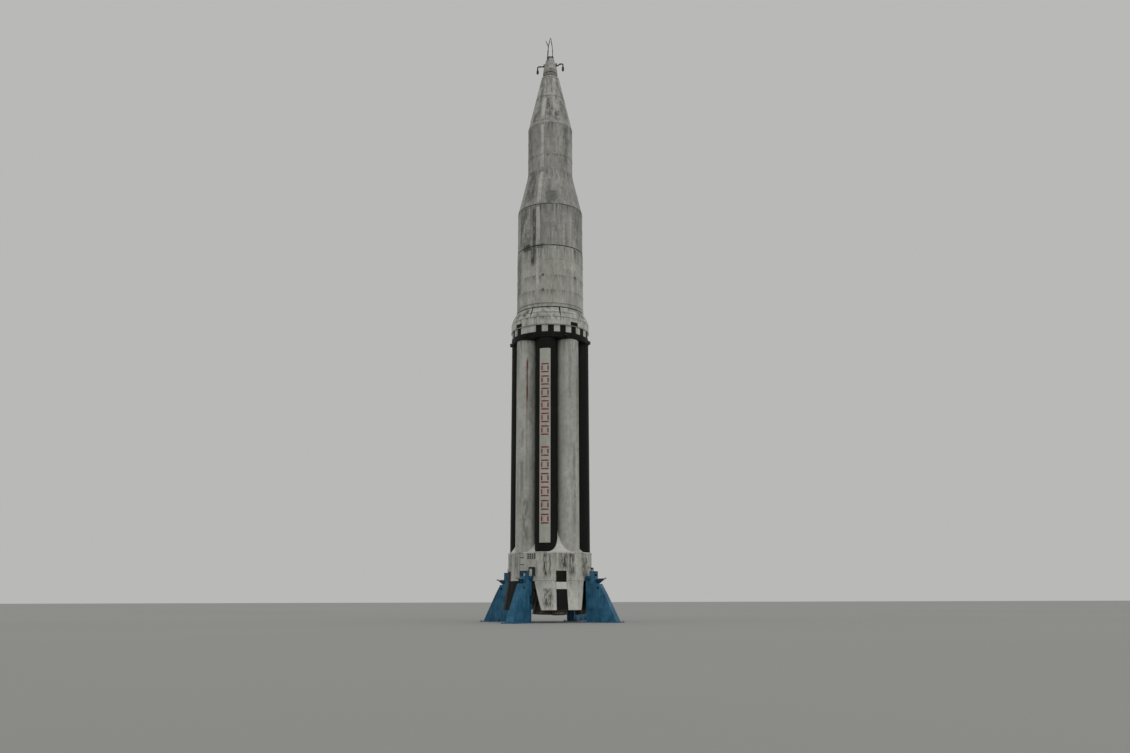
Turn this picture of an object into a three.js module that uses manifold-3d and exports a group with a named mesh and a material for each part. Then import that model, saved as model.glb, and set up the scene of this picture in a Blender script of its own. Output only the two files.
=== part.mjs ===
// Clustered-tank space rocket on its display stand: eight outer tanks round a centre tank, an open tail
// with four fixed and four gimballed engines, a second stage, an adapter, a third stage and a nose.
// Every size below is the full-size rocket's, in millimetres, and the group's scale makes it a 1:2 model.
// +Z is up, the ground is z = 0 and the front is -Y. Azimuths are in degrees from the front, towards +X.
import * as THREE from "three";
import { mergeVertices } from "three/addons/utils/BufferGeometryUtils.js";
import Module from "manifold-3d";

const wasm = await Module();
wasm.setup();

const MODEL_SCALE = 1 / 2;
const GAP = 0.6; // 0.3 mm at the model's size, left where a piece is cut by its neighbour

// Heights of the joins between the sections, from the ground up
const BARREL_FOOT_Z = 3150;
const FIREWALL_Z = 3450;
const BARREL_TOP_Z = 5350;
const TANK_TOP_Z = 22500;
const RING_TOP_Z = 23000;
const CHECKER_TOP_Z = 23600;
const PETAL_TOP_Z = 25180;
const SECOND_STAGE_Z = 25260;
const SECOND_STAGE_STEP_Z = 30550;
const ADAPTER_Z = 34280;
const THIRD_STAGE_Z = 37850;
const NOSE_CONE_Z = 42300;
const NOSE_CAP_Z = 47270;
const NOSE_TOP_Z = 49560;

// Radii of the sections
const TANK_RADIUS = 889;
const CENTRE_TANK_RADIUS = 1333;
const TANK_PITCH_RADIUS = 2340;
const BARREL_RADIUS = 3350;
const RING_RADIUS = 3230;
const CHECKER_RADIUS = 3190;
const FAIRING_RADIUS = 3260;
const SECOND_STAGE_RADIUS = 2805;
const SECOND_STAGE_UPPER_RADIUS = 2780;
const THIRD_STAGE_RADIUS = 1940;
const NOSE_BASE_RADIUS = 820;
const NOSE_TIP_RADIUS = 270;

const BODY_SEGMENTS = 48;
const TANK_SEGMENTS = 24;
const BELL_SEGMENTS = 16;

// Azimuths: tanks every 45 degrees, engine corners and stand towers in the gaps between them, by turns
const TANK_AZIMUTHS = [0, 45, 90, 135, 180, 225, 270, 315];
const CORNER_AZIMUTHS = [22.5, 112.5, 202.5, 292.5];
const TOWER_AZIMUTHS = [67.5, 157.5, 247.5, 337.5];

const root = new THREE.Group();
root.scale.setScalar(MODEL_SCALE);

const paint = (color, roughness = 0.6, metalness = 0) =>
  new THREE.MeshStandardMaterial({ color, roughness, metalness });
const WHITE = paint(0xc9c9c2);
const WEATHERED = paint(0x9a9a93);
const BLACK = paint(0x16181a);
const BLUE = paint(0x2f6fb5);
const STEEL = paint(0x77706a, 0.45, 0.8);
const RED = paint(0x7c1f1a, 0.4);

const rad = THREE.MathUtils.degToRad;

// A geometry with merged vertices and its faces pointing out
function closed(geometry) {
  const bare = geometry.clone();
  for (const name of Object.keys(bare.attributes)) if (name !== "position") bare.deleteAttribute(name);
  const merged = mergeVertices(bare, 1e-3);
  const p = merged.attributes.position;
  const index = merged.index.array;
  const kept = [];
  let volume = 0;
  const [a, b, c] = [new THREE.Vector3(), new THREE.Vector3(), new THREE.Vector3()];
  for (let i = 0; i < index.length; i += 3) {
    const [u, v, w] = [index[i], index[i + 1], index[i + 2]];
    if (u === v || v === w || w === u) continue;
    kept.push(u, v, w);
    volume += a.fromBufferAttribute(p, u).dot(b.fromBufferAttribute(p, v).cross(c.fromBufferAttribute(p, w)));
  }
  if (volume < 0) for (let i = 0; i < kept.length; i += 3) [kept[i], kept[i + 1]] = [kept[i + 1], kept[i]];
  merged.setIndex(kept);
  return merged;
}

function solid(geometry) {
  const g = closed(geometry);
  const triVerts = new Uint32Array(g.index.array);
  return new wasm.Manifold(
    new wasm.Mesh({ numProp: 3, vertProperties: g.attributes.position.array, triVerts }),
  );
}

function geometryOf(made) {
  const mesh = made.getMesh();
  return new THREE.BufferGeometry()
    .setAttribute("position", new THREE.BufferAttribute(new Float32Array(mesh.vertProperties), 3))
    .setIndex(new THREE.BufferAttribute(new Uint32Array(mesh.triVerts), 1));
}

const joined = (first, ...rest) => rest.reduce((sum, next) => sum.add(next), first);

// A solid of revolution about Z, from [radius, height] points that start and end on the axis
function lathe(profile, segments = BODY_SEGMENTS) {
  const points = profile.map(([r, z]) => new THREE.Vector2(r, z));
  return new THREE.LatheGeometry(points, segments).rotateX(Math.PI / 2);
}

// An upright drum between two heights
const drum = (radius, low, high, segments = BODY_SEGMENTS) =>
  lathe([[0, low], [radius, low], [radius, high], [0, high]], segments);

// A box from its lowest and highest corners
function box([x0, y0, z0], [x1, y1, z1]) {
  return new THREE.BoxGeometry(x1 - x0, y1 - y0, z1 - z0)
    .translate((x0 + x1) / 2, (y0 + y1) / 2, (z0 + z1) / 2);
}

// An outline of [x, z] points, run from y = low to y = high
function prism(outline, low, high) {
  const shape = new THREE.Shape(outline.map(([x, z]) => new THREE.Vector2(x, z)));
  return new THREE.ExtrudeGeometry(shape, { depth: high - low, bevelEnabled: false })
    .rotateX(Math.PI / 2)
    .translate(0, high, 0);
}

// A body through loops of points, where each loop is a strip folded back on itself
function loft(loops) {
  const n = loops[0].length;
  const last = (loops.length - 1) * n;
  const index = [];
  const quad = (a, b, c, d) => index.push(a, b, c, a, c, d);
  for (let j = 0; j < last; j += n) {
    for (let i = 0; i < n; i += 1) {
      const k = (i + 1) % n;
      quad(j + i, j + k, j + n + k, j + n + i);
    }
  }
  for (let i = 0; i < n / 2 - 1; i += 1) {
    const far = n - 1 - i;
    quad(i, far, far - 1, i + 1);
    quad(last + i, last + i + 1, last + far - 1, last + far);
  }
  return new THREE.BufferGeometry()
    .setAttribute("position", new THREE.Float32BufferAttribute(loops.flat(2), 3))
    .setIndex(index);
}

// A round bar along a path, from its points
function bar(points, radius, steps, sides = 8) {
  const extrudePath = new THREE.CatmullRomCurve3(
    points.map((p) => new THREE.Vector3(...p)), false, "centripetal",
  );
  const section = new THREE.Shape().absarc(0, 0, radius, 0, 2 * Math.PI);
  return new THREE.ExtrudeGeometry(section, {
    steps, curveSegments: sides / 2, bevelEnabled: false, extrudePath,
  });
}

// Pieces made along +X, as if at azimuth 90, turned to their own azimuth
const turned = (geometry, azimuth) => geometry.rotateZ(rad(azimuth - 90));

function add(name, geometry, material) {
  const mesh = new THREE.Mesh(closed(geometry), material.clone());
  mesh.name = name;
  root.add(mesh);
  return mesh;
}

// Nose: a cone with a collar, a cap above a groove, rods on the tip and an obstruction light on each side
const CAP_FOOT_Z = NOSE_CAP_Z + 290;

function addNose() {
  const COLLAR = { radius: 780, height: 210 };
  const NECK_RADIUS = 580;
  add("nose_cone", lathe([
    [0, NOSE_CONE_Z],
    [THIRD_STAGE_RADIUS, NOSE_CONE_Z],
    [NOSE_BASE_RADIUS, NOSE_CAP_Z],
    [COLLAR.radius, NOSE_CAP_Z],
    [COLLAR.radius, NOSE_CAP_Z + COLLAR.height],
    [NECK_RADIUS, NOSE_CAP_Z + COLLAR.height],
    [NECK_RADIUS, CAP_FOOT_Z],
    [0, CAP_FOOT_Z],
  ]), WEATHERED);
  const CAP_SIDE = [
    [640, CAP_FOOT_Z], [655, 47900], [585, 48500], [430, 49110], [NOSE_TIP_RADIUS, NOSE_TOP_Z],
  ];
  const cap = (grown) => lathe(
    [[0, CAP_FOOT_Z], ...CAP_SIDE.map(([r, z]) => [r + grown, z]), [0, NOSE_TOP_Z]], TANK_SEGMENTS,
  );
  add("nose_cap", cap(0), WEATHERED);

  const ROD_RADIUS = 30;
  const ROD_PLATE = { radius: 310, thick: 40 };
  const rods = [
    { foot: [-230, -60], knee: [-190, -60, 50750], tip: [-430, -40, 51380] },
    { foot: [215, -60], knee: [180, -60, 50650], tip: [50, -60, 51620] },
    { foot: [-210, 60], knee: [-160, 40, 50900], tip: [30, -50, 51610] },
  ];
  const plate = solid(drum(ROD_PLATE.radius, NOSE_TOP_Z, NOSE_TOP_Z + ROD_PLATE.thick, TANK_SEGMENTS));
  const bars = rods.map(({ foot, knee, tip }) => {
    const start = NOSE_TOP_Z + ROD_PLATE.thick / 2;
    return solid(bar([[...foot, start], [...foot, start + 500], knee, tip], ROD_RADIUS, 5, 6));
  });
  add("lightning_rods", geometryOf(joined(plate, ...bars)), STEEL);

  const ARM_RADIUS = 50;
  const KNOB = { radius: 80, reach: 650 };
  const LAMP_RADIUS = 90;
  const lights = [
    { side: "left", sign: -1, armZ: 48780, rise: 0, reach: 1150, lamp: [48050, 48400] },
    { side: "right", sign: 1, armZ: 48800, rise: 130, reach: 1150, lamp: [48210, 48590] },
  ];
  for (const { side, sign, armZ, rise, reach, lamp } of lights) {
    const endZ = armZ + rise;
    const route = [[200, armZ], [700, armZ], [850, endZ], [reach - 50, endZ], [reach, lamp[1] - 30]];
    const arm = solid(bar(route.map(([x, z]) => [sign * x, 0, z]), ARM_RADIUS, 7, 6));
    const knob = solid(new THREE.CylinderGeometry(KNOB.radius, KNOB.radius, 300, 10)
      .rotateZ(Math.PI / 2)
      .translate(sign * (KNOB.reach - 150), 0, armZ));
    const bulb = solid(drum(LAMP_RADIUS, ...lamp, 12).translate(sign * reach, 0, 0));
    const made = joined(arm, knob).subtract(solid(cap(GAP))).add(bulb);
    add("obstruction_light_" + side, geometryOf(made), RED);
  }
}

// Upper stages: plain drums and a cone, each as wide as its neighbour where they meet, with a covered cable
// tunnel up the front
const TUNNEL = { azimuth: -13.8, halfWidth: 170, proud: 90, end: 22, ramp: 120, root: 60 };

function withTunnel(stage, [lowRadius, low], [highRadius, high]) {
  const cover = prism([
    [lowRadius - TUNNEL.root, low],
    [lowRadius + TUNNEL.end, low],
    [lowRadius + TUNNEL.proud, low + TUNNEL.ramp],
    [highRadius + TUNNEL.proud, high - TUNNEL.ramp],
    [highRadius + TUNNEL.end, high],
    [highRadius - TUNNEL.root, high],
  ], -TUNNEL.halfWidth, TUNNEL.halfWidth);
  return geometryOf(solid(stage).add(solid(turned(cover, TUNNEL.azimuth))));
}

function addUpperStages() {
  const TRIM = { depth: 25, height: 160 };
  const upperRadius = SECOND_STAGE_UPPER_RADIUS;
  const third = drum(THIRD_STAGE_RADIUS, THIRD_STAGE_Z, NOSE_CONE_Z);
  add("third_stage", withTunnel(third, [THIRD_STAGE_RADIUS, 38050], [THIRD_STAGE_RADIUS, 42050]), WEATHERED);
  const adapter = lathe([
    [0, ADAPTER_Z], [upperRadius, ADAPTER_Z], [THIRD_STAGE_RADIUS, THIRD_STAGE_Z], [0, THIRD_STAGE_Z],
  ]);
  add("adapter_cone", withTunnel(
    adapter, [upperRadius - 59, 34530], [THIRD_STAGE_RADIUS + 59, 37600],
  ), WEATHERED);
  const upper = drum(upperRadius, SECOND_STAGE_STEP_Z, ADAPTER_Z);
  add("second_stage_upper", withTunnel(upper, [upperRadius, 30650], [upperRadius, 34080]), WEATHERED);
  const lower = lathe([
    [0, SECOND_STAGE_Z],
    [SECOND_STAGE_RADIUS + TRIM.depth, SECOND_STAGE_Z],
    [SECOND_STAGE_RADIUS + TRIM.depth, SECOND_STAGE_Z + TRIM.height],
    [SECOND_STAGE_RADIUS, SECOND_STAGE_Z + TRIM.height],
    [SECOND_STAGE_RADIUS, SECOND_STAGE_STEP_Z],
    [0, SECOND_STAGE_STEP_Z],
  ]);
  add("second_stage_lower", withTunnel(
    lower, [SECOND_STAGE_RADIUS, 25550], [SECOND_STAGE_RADIUS, 30400],
  ), WEATHERED);
}

// Interstage: a slotted petal fairing, the checkered ring and the black ring that caps the tanks
const GUY_AZIMUTHS = [30, 90, 150, 210, 270, 330];
function addInterstage() {
  const BAND_TOP_Z = 24250;
  const SHOULDER = { radius: 3130, z: 24680 };
  const PETAL_TOP_RADIUS = 2860;
  const SEAT_RADIUS = 2700;
  const SLOT = { width: 90, depth: 130, foot: 24430 };
  let fairing = solid(lathe([
    [0, CHECKER_TOP_Z],
    [FAIRING_RADIUS, CHECKER_TOP_Z],
    [FAIRING_RADIUS, BAND_TOP_Z],
    [SHOULDER.radius, SHOULDER.z],
    [PETAL_TOP_RADIUS, PETAL_TOP_Z],
    [SEAT_RADIUS, PETAL_TOP_Z],
    [SEAT_RADIUS, SECOND_STAGE_Z],
    [0, SECOND_STAGE_Z],
  ]));
  for (const azimuth of [...CORNER_AZIMUTHS, ...TOWER_AZIMUTHS]) {
    const slot = box(
      [PETAL_TOP_RADIUS - SLOT.depth, -SLOT.width / 2, SLOT.foot],
      [FAIRING_RADIUS + 100, SLOT.width / 2, PETAL_TOP_Z + 10],
    );
    fairing = fairing.subtract(solid(turned(slot, azimuth)));
  }
  add("interstage_fairing", geometryOf(fairing), WHITE);
  add("checker_ring", drum(CHECKER_RADIUS, RING_TOP_Z, CHECKER_TOP_Z), WHITE);

  const LUG = { reach: 190, thick: 60, high: 300, foot: 22600, eye: 50 };
  let capRing = solid(drum(RING_RADIUS, TANK_TOP_Z, RING_TOP_Z));
  for (const azimuth of GUY_AZIMUTHS) {
    const plate = box(
      [RING_RADIUS - 60, -LUG.thick / 2, LUG.foot],
      [RING_RADIUS + LUG.reach, LUG.thick / 2, LUG.foot + LUG.high],
    );
    const eye = new THREE.CylinderGeometry(LUG.eye, LUG.eye, 2 * LUG.thick, 12)
      .translate(RING_RADIUS + LUG.reach - 1.8 * LUG.eye, 0, LUG.foot + LUG.high / 2);
    capRing = capRing.add(solid(turned(plate, azimuth)).subtract(solid(turned(eye, azimuth))));
  }
  add("tank_ring", geometryOf(capRing), BLACK);
}

// Tanks: black fuel tanks at the front, sides and back, white oxidiser tanks between them
function addTanks() {
  add("centre_tank", drum(CENTRE_TANK_RADIUS, BARREL_TOP_Z, TANK_TOP_Z, TANK_SEGMENTS), WHITE);
  TANK_AZIMUTHS.forEach((azimuth, i) => {
    const fuel = i % 2 === 0;
    const name = (fuel ? "fuel_tank_" : "oxidiser_tank_") + (Math.floor(i / 2) + 1);
    const tank = drum(TANK_RADIUS, BARREL_TOP_Z, TANK_TOP_Z, TANK_SEGMENTS)
      .translate(TANK_PITCH_RADIUS, 0, 0);
    add(name, turned(tank, azimuth), fuel ? BLACK : WHITE);
  });
}

// Tail barrel: an open-bottomed shell whose top slopes up into the gaps between the tanks
const PAD = { reach: 3600, foot: 3500, top: 4150, near: 200, far: 560 };
const BARREL_WALL = 100;
function addTailBarrel() {
  const DECK = 120;
  let shell = solid(lathe([
    [0, BARREL_TOP_Z - DECK],
    [BARREL_RADIUS - BARREL_WALL, BARREL_TOP_Z - DECK],
    [BARREL_RADIUS - BARREL_WALL, BARREL_FOOT_Z],
    [BARREL_RADIUS, BARREL_FOOT_Z],
    [BARREL_RADIUS, BARREL_TOP_Z],
    [0, BARREL_TOP_Z],
  ]));
  // Each hat is a wedge of a hollow-sided cone, cut back by the tanks: tall at the corners, low at the towers
  const GAP_RADIUS = TANK_PITCH_RADIUS * Math.cos(rad(22.5));
  const hats = [
    { azimuths: CORNER_AZIMUTHS, foot: 3223, slope: 1.75 },
    { azimuths: TOWER_AZIMUTHS, foot: 2950, slope: 1.25 },
  ];
  for (const { azimuths, foot, slope } of hats) {
    const height = slope * (foot - GAP_RADIUS + 20);
    const cone = solid(lathe([
      [0, BARREL_TOP_Z - DECK / 2],
      [foot, BARREL_TOP_Z - DECK / 2],
      [foot, BARREL_TOP_Z],
      [(foot + GAP_RADIUS - 20) / 2, BARREL_TOP_Z + 0.4 * height],
      [GAP_RADIUS - 20, BARREL_TOP_Z + height],
      [0, BARREL_TOP_Z + height],
    ]));
    for (const azimuth of azimuths) {
      const span = FAIRING_RADIUS * Math.tan(rad(22.4));
      const wedge = new THREE.Shape([
        new THREE.Vector2(GAP_RADIUS + 10, -0.4 * span),
        new THREE.Vector2(FAIRING_RADIUS, -span),
        new THREE.Vector2(FAIRING_RADIUS, span),
        new THREE.Vector2(GAP_RADIUS + 10, 0.4 * span),
      ]);
      const sector = new THREE.ExtrudeGeometry(wedge, { depth: 3000, bevelEnabled: false })
        .translate(0, 0, BARREL_TOP_Z - DECK / 2);
      shell = shell.add(cone.intersect(solid(turned(sector, azimuth))));
    }
  }
  for (const azimuth of TANK_AZIMUTHS) {
    const cut = drum(TANK_RADIUS + GAP, BARREL_TOP_Z, TANK_TOP_Z, TANK_SEGMENTS)
      .translate(TANK_PITCH_RADIUS, 0, 0);
    shell = shell.subtract(solid(turned(cut, azimuth)));
  }
  for (const azimuth of TOWER_AZIMUTHS) {
    const pad = box([BARREL_RADIUS - 90, PAD.near, PAD.foot], [PAD.reach, PAD.far, PAD.top]);
    shell = shell.add(solid(turned(pad, azimuth)));
  }
  add("tail_barrel", geometryOf(shell), WHITE);
}

// Engines: a bell and chamber that hang from a gimbal, built round the gimbal centre with +X outwards
const GIMBAL_Z = 3040;
const ENGINE_LENGTH = 2450;
const OUTBOARD = { radius: 2413, cant: 6 };
const INBOARD = { radius: 813, cant: 3 };
const YOKE = { arm: 40, inner: 86, halfWidth: 48, reach: 50, plate: 130 };
const PIN_RADIUS = 28;
const PIN_PLAY = 1.2;

const bellProfile = [
  [0, -150], [190, -150], [270, -240], [270, -720], [212, -960], [350, -1300], [510, -1900],
  [600, -ENGINE_LENGTH], [570, -ENGINE_LENGTH], [480, -1900], [320, -1300], [182, -960], [0, -900],
];

// Turbopump on the chamber's side, with the duct that carries its exhaust down beside the bell
function pumpAndDuct(side) {
  const PUMP = { out: 400, z: -560, radius: 150, halfLength: 260 };
  const DUCT_RADIUS = 60;
  const pump = new THREE.CylinderGeometry(PUMP.radius, PUMP.radius, 2 * PUMP.halfLength, 12)
    .translate(side * PUMP.out, 0, PUMP.z);
  const duct = bar([
    [side * PUMP.out, 120, PUMP.z - 60],
    [side * 440, 120, -1000],
    [side * 520, 110, -1500],
    [side * 610, 100, -2050],
  ], DUCT_RADIUS, 4, 6);
  const [near, far] = [side * 240, side * 400].sort((a, b) => a - b);
  const bracket = box([near, -90, -640], [far, 90, -480]);
  return [solid(pump), solid(duct), solid(bracket)];
}

// Two arms with pin holes on a plate: arms point along Z from the plate towards the gimbal centre
function yoke(alongX, sign) {
  const { arm, inner, halfWidth, reach, plate } = YOKE;
  const outer = inner + arm;
  const ends = [-sign * reach, sign * plate].sort((a, b) => a - b);
  let made = solid(box([-outer, -outer, Math.min(sign * plate, sign * (plate + arm))],
    [outer, outer, Math.max(sign * plate, sign * (plate + arm))]));
  for (const side of [-1, 1]) {
    const [near, far] = [side * inner, side * outer].sort((a, b) => a - b);
    const plateBox = alongX
      ? box([near, -halfWidth, ends[0]], [far, halfWidth, ends[1]])
      : box([-halfWidth, near, ends[0]], [halfWidth, far, ends[1]]);
    made = made.add(solid(plateBox));
  }
  const hole = new THREE.CylinderGeometry(PIN_RADIUS + PIN_PLAY, PIN_RADIUS + PIN_PLAY, 4 * outer, 16);
  if (alongX) hole.rotateZ(Math.PI / 2);
  return made.subtract(solid(hole));
}

function crossBlock() {
  const HALF = 66;
  const reach = YOKE.inner + YOKE.arm;
  const pinY = new THREE.CylinderGeometry(PIN_RADIUS, PIN_RADIUS, 2 * reach, 16);
  const pinX = pinY.clone().rotateZ(Math.PI / 2);
  return joined(solid(box([-HALF, -HALF, -HALF], [HALF, HALF, HALF])), solid(pinY), solid(pinX));
}

// Places a piece built round a gimbal centre: canted outwards at the bottom, then turned to its azimuth
function hung(geometry, { radius, cant }, azimuth) {
  return turned(geometry.rotateY(-rad(cant)).translate(radius, 0, GIMBAL_Z), azimuth);
}

function addEngines() {
  const bell = solid(lathe(bellProfile, BELL_SEGMENTS));
  const FIREWALL = { radius: BARREL_RADIUS - BARREL_WALL - GAP, thick: 150 };
  let firewall = solid(drum(FIREWALL.radius, FIREWALL_Z, FIREWALL_Z + FIREWALL.thick));
  CORNER_AZIMUTHS.forEach((azimuth, i) => {
    const engine = joined(bell, ...pumpAndDuct(-1), yoke(true, -1));
    add("outboard_engine_" + (i + 1), hung(geometryOf(engine), OUTBOARD, azimuth), STEEL);
    add("gimbal_cross_" + (i + 1), hung(geometryOf(crossBlock()), OUTBOARD, azimuth), STEEL);
    const post = box([-110, -110, YOKE.plate + 5], [110, 110, FIREWALL_Z - GIMBAL_Z + 60]);
    firewall = firewall.add(solid(hung(geometryOf(yoke(false, 1).add(solid(post))), OUTBOARD, azimuth)));
  });
  add("firewall", geometryOf(firewall), STEEL);
  TOWER_AZIMUTHS.forEach((azimuth, i) => {
    const engine = joined(bell, ...pumpAndDuct(1));
    const post = solid(drum(120, GIMBAL_Z - 240, FIREWALL_Z, BELL_SEGMENTS).translate(INBOARD.radius, 0, 0));
    const placed = solid(hung(geometryOf(engine), INBOARD, azimuth));
    const made = placed.add(solid(turned(geometryOf(post), azimuth)));
    add("inboard_engine_" + (i + 1), geometryOf(made), STEEL);
  });
}

// Engine fairings: a flared skirt outside each outboard engine. Its sides turn in towards the engine, and a
// raised panel runs up its middle and onto the barrel.
const SKIRT = { foot: 950, footRadius: 3700, footHalf: 25.5, topHalf: 36, wall: 60, web: 620 };
const PANEL = { half: 7, foot: 960, top: 3900, proud: 30, root: 20 };

function arc(radius, halfAngle, z, steps) {
  return Array.from({ length: steps + 1 }, (_, i) => {
    const angle = rad(halfAngle * (2 * i / steps - 1));
    return [radius * Math.cos(angle), radius * Math.sin(angle), z];
  });
}

const skirtShare = (z) => Math.min((z - SKIRT.foot) / (BARREL_FOOT_Z - SKIRT.foot), 1);
const skirtRadius = (z) => THREE.MathUtils.lerp(SKIRT.footRadius, BARREL_RADIUS, skirtShare(z));

function skirtLoop(z) {
  const STEPS = 8;
  const half = THREE.MathUtils.lerp(SKIRT.footHalf, SKIRT.topHalf, skirtShare(z));
  const outer = skirtRadius(z);
  const inner = outer - SKIRT.web;
  const thinner = (r) => half - THREE.MathUtils.radToDeg(SKIRT.wall / r);
  const [innerStart, innerEnd] = arc(inner, half, z, 1);
  const [wallStart, wallEnd] = arc(inner, thinner(inner), z, 1);
  const inside = arc(outer - SKIRT.wall, thinner(outer), z, STEPS).reverse();
  return [innerStart, ...arc(outer, half, z, STEPS), innerEnd, wallEnd, ...inside, wallStart];
}

function panelLoop(z) {
  const STEPS = 4;
  const radius = skirtRadius(z);
  return [
    ...arc(radius + PANEL.proud, PANEL.half, z, STEPS),
    ...arc(radius - PANEL.root, PANEL.half, z, STEPS).reverse(),
  ];
}

function addEngineFairings() {
  const skirt = solid(loft([SKIRT.foot, (SKIRT.foot + BARREL_FOOT_Z) / 2, BARREL_FOOT_Z].map(skirtLoop)));
  const panel = solid(loft([PANEL.foot, BARREL_FOOT_Z, PANEL.top].map(panelLoop)));
  const barrel = solid(drum(BARREL_RADIUS + GAP, BARREL_FOOT_Z, PANEL.top + 10));
  CORNER_AZIMUTHS.forEach((azimuth, i) => {
    const made = solid(turned(geometryOf(joined(skirt, panel)), azimuth)).subtract(barrel);
    add("engine_fairing_" + (i + 1), geometryOf(made), WHITE);
  });
}

// Stand towers: legs that run outwards at the foot, each with a seat for one of the barrel's pads,
// a head block with a window, and a narrow shelf
const LEG = { inner: 3400, innerHalfWidth: 310 };
const LEG_LEVELS = [
  { z: 60, outer: 6050, halfWidth: 340 },
  { z: 2000, outer: 5070, halfWidth: 270 },
  { z: 2900, outer: 4560, halfWidth: 250 },
  { z: 2970, outer: 4200, halfWidth: 250 },
  { z: PAD.foot, outer: 4150, halfWidth: 250 },
];

function addStandTowers() {
  const HEAD = { inner: 3740, outer: 4130, halfWidth: 290, top: 3870 };
  const WINDOW = { halfWidth: 205, low: PAD.foot, high: 3690 };
  const EYE = { radius: 100, near: 180, far: 400, reach: 4420, z: 2620 };
  const SHELF = { tip: 5000, halfWidth: 90, low: 3270, high: 3330 };
  const leg = loft(LEG_LEVELS.map(({ z, outer, halfWidth }) => [
    [LEG.inner, -LEG.innerHalfWidth, z], [outer, -halfWidth, z],
    [outer, halfWidth, z], [LEG.inner, LEG.innerHalfWidth, z],
  ]));
  const across = (reach, far, halfWidth, low, high) =>
    solid(box([reach, -halfWidth, low], [far, halfWidth, high]));
  const head = across(HEAD.inner, HEAD.outer, HEAD.halfWidth, PAD.foot - 20, HEAD.top)
    .subtract(across(HEAD.inner - 10, HEAD.outer + 10, WINDOW.halfWidth, WINDOW.low, WINDOW.high));
  const seat = across(LEG.inner, HEAD.inner + 10, 450, 3300, PAD.foot);
  const base = across(3300, 6250, 600, 0, 65);
  const shelf = across(4100, SHELF.tip, SHELF.halfWidth, SHELF.low, SHELF.high);
  const bracket = prism([[4100, 3280], [4100, 2950], [4450, 2950], [4900, 3280]], -30, 30);
  let tower = joined(solid(leg), head, seat, base, shelf, solid(bracket));
  for (const side of [-1, 1]) {
    const middle = side * (EYE.near + EYE.far) / 2;
    const eye = new THREE.CylinderGeometry(EYE.radius, EYE.radius, EYE.far - EYE.near, 12)
      .translate(EYE.reach, middle, EYE.z);
    tower = tower.subtract(solid(eye));
  }
  TOWER_AZIMUTHS.forEach((azimuth, i) => {
    add("stand_tower_" + (i + 1), turned(geometryOf(tower), azimuth), BLUE);
  });
}

addNose();
addUpperStages();
addInterstage();
addTanks();
addTailBarrel();
addEngines();
addEngineFairings();
addStandTowers();

export default root;
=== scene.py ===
# The looks of the clustered-tank rocket and its display stand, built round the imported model.
# Sizes here are the full-size rocket's, in metres, and SCALE turns them into the 1:2 model's.
# Azimuths are in degrees from the front (-Y) towards +X.
import math

import bmesh
import bpy
from mathutils import Matrix, Vector


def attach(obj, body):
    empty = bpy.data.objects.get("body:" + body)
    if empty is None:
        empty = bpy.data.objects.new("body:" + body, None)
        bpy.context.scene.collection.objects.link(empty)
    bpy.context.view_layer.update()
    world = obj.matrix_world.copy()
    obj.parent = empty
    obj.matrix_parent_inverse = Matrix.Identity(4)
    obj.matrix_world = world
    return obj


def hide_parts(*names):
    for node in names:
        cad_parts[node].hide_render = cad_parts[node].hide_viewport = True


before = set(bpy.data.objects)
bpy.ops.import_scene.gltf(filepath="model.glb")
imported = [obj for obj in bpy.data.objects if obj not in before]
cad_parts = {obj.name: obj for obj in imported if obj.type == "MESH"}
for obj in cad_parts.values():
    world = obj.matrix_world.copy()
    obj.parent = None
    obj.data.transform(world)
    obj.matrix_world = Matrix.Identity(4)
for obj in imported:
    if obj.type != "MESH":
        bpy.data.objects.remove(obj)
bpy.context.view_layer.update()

SCALE = 0.5
BODY = "rocket_and_stand"

# Heights of the joins
BARREL_FOOT = 3.15
FIREWALL = 3.45
BARREL_TOP = 5.35
TANK_TOP = 22.5
RING_TOP = 23.0
CHECKER_TOP = 23.6
BAND_TOP = 24.25
PETAL_FOLD = 24.68
PETAL_TOP = 25.18
SECOND_STAGE = 25.26
SECOND_STAGE_STEP = 30.55
ADAPTER = 34.28
THIRD_STAGE = 37.85
NOSE_CONE = 42.3
NOSE_CAP = 47.27
CAP_FOOT = 47.56
NOSE_TOP = 49.56

# Radii
TANK_R = 0.889
CENTRE_TANK_R = 1.333
TANK_PITCH_R = 2.34
BARREL_R = 3.35
RING_R = 3.23
CHECKER_R = 3.19
FAIRING_R = 3.26
SECOND_STAGE_R = 2.805
SECOND_STAGE_UPPER_R = 2.78
THIRD_STAGE_R = 1.94
NOSE_BASE_R = 0.82
NOSE_TIP_R = 0.27

TANK_AZIMUTHS = [0, 45, 90, 135, 180, 225, 270, 315]
CORNER_AZIMUTHS = [22.5, 112.5, 202.5, 292.5]
TOWER_AZIMUTHS = [67.5, 157.5, 247.5, 337.5]
GUY_AZIMUTHS = [30, 90, 150, 210, 270, 330]
PROUD = 0.004


# Node graphs

BUMP_STRENGTH = 0.5
RUST = (0.15, 0.05, 0.018)
FINE_GRAIN = (60.0, 60.0, 60.0)


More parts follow.
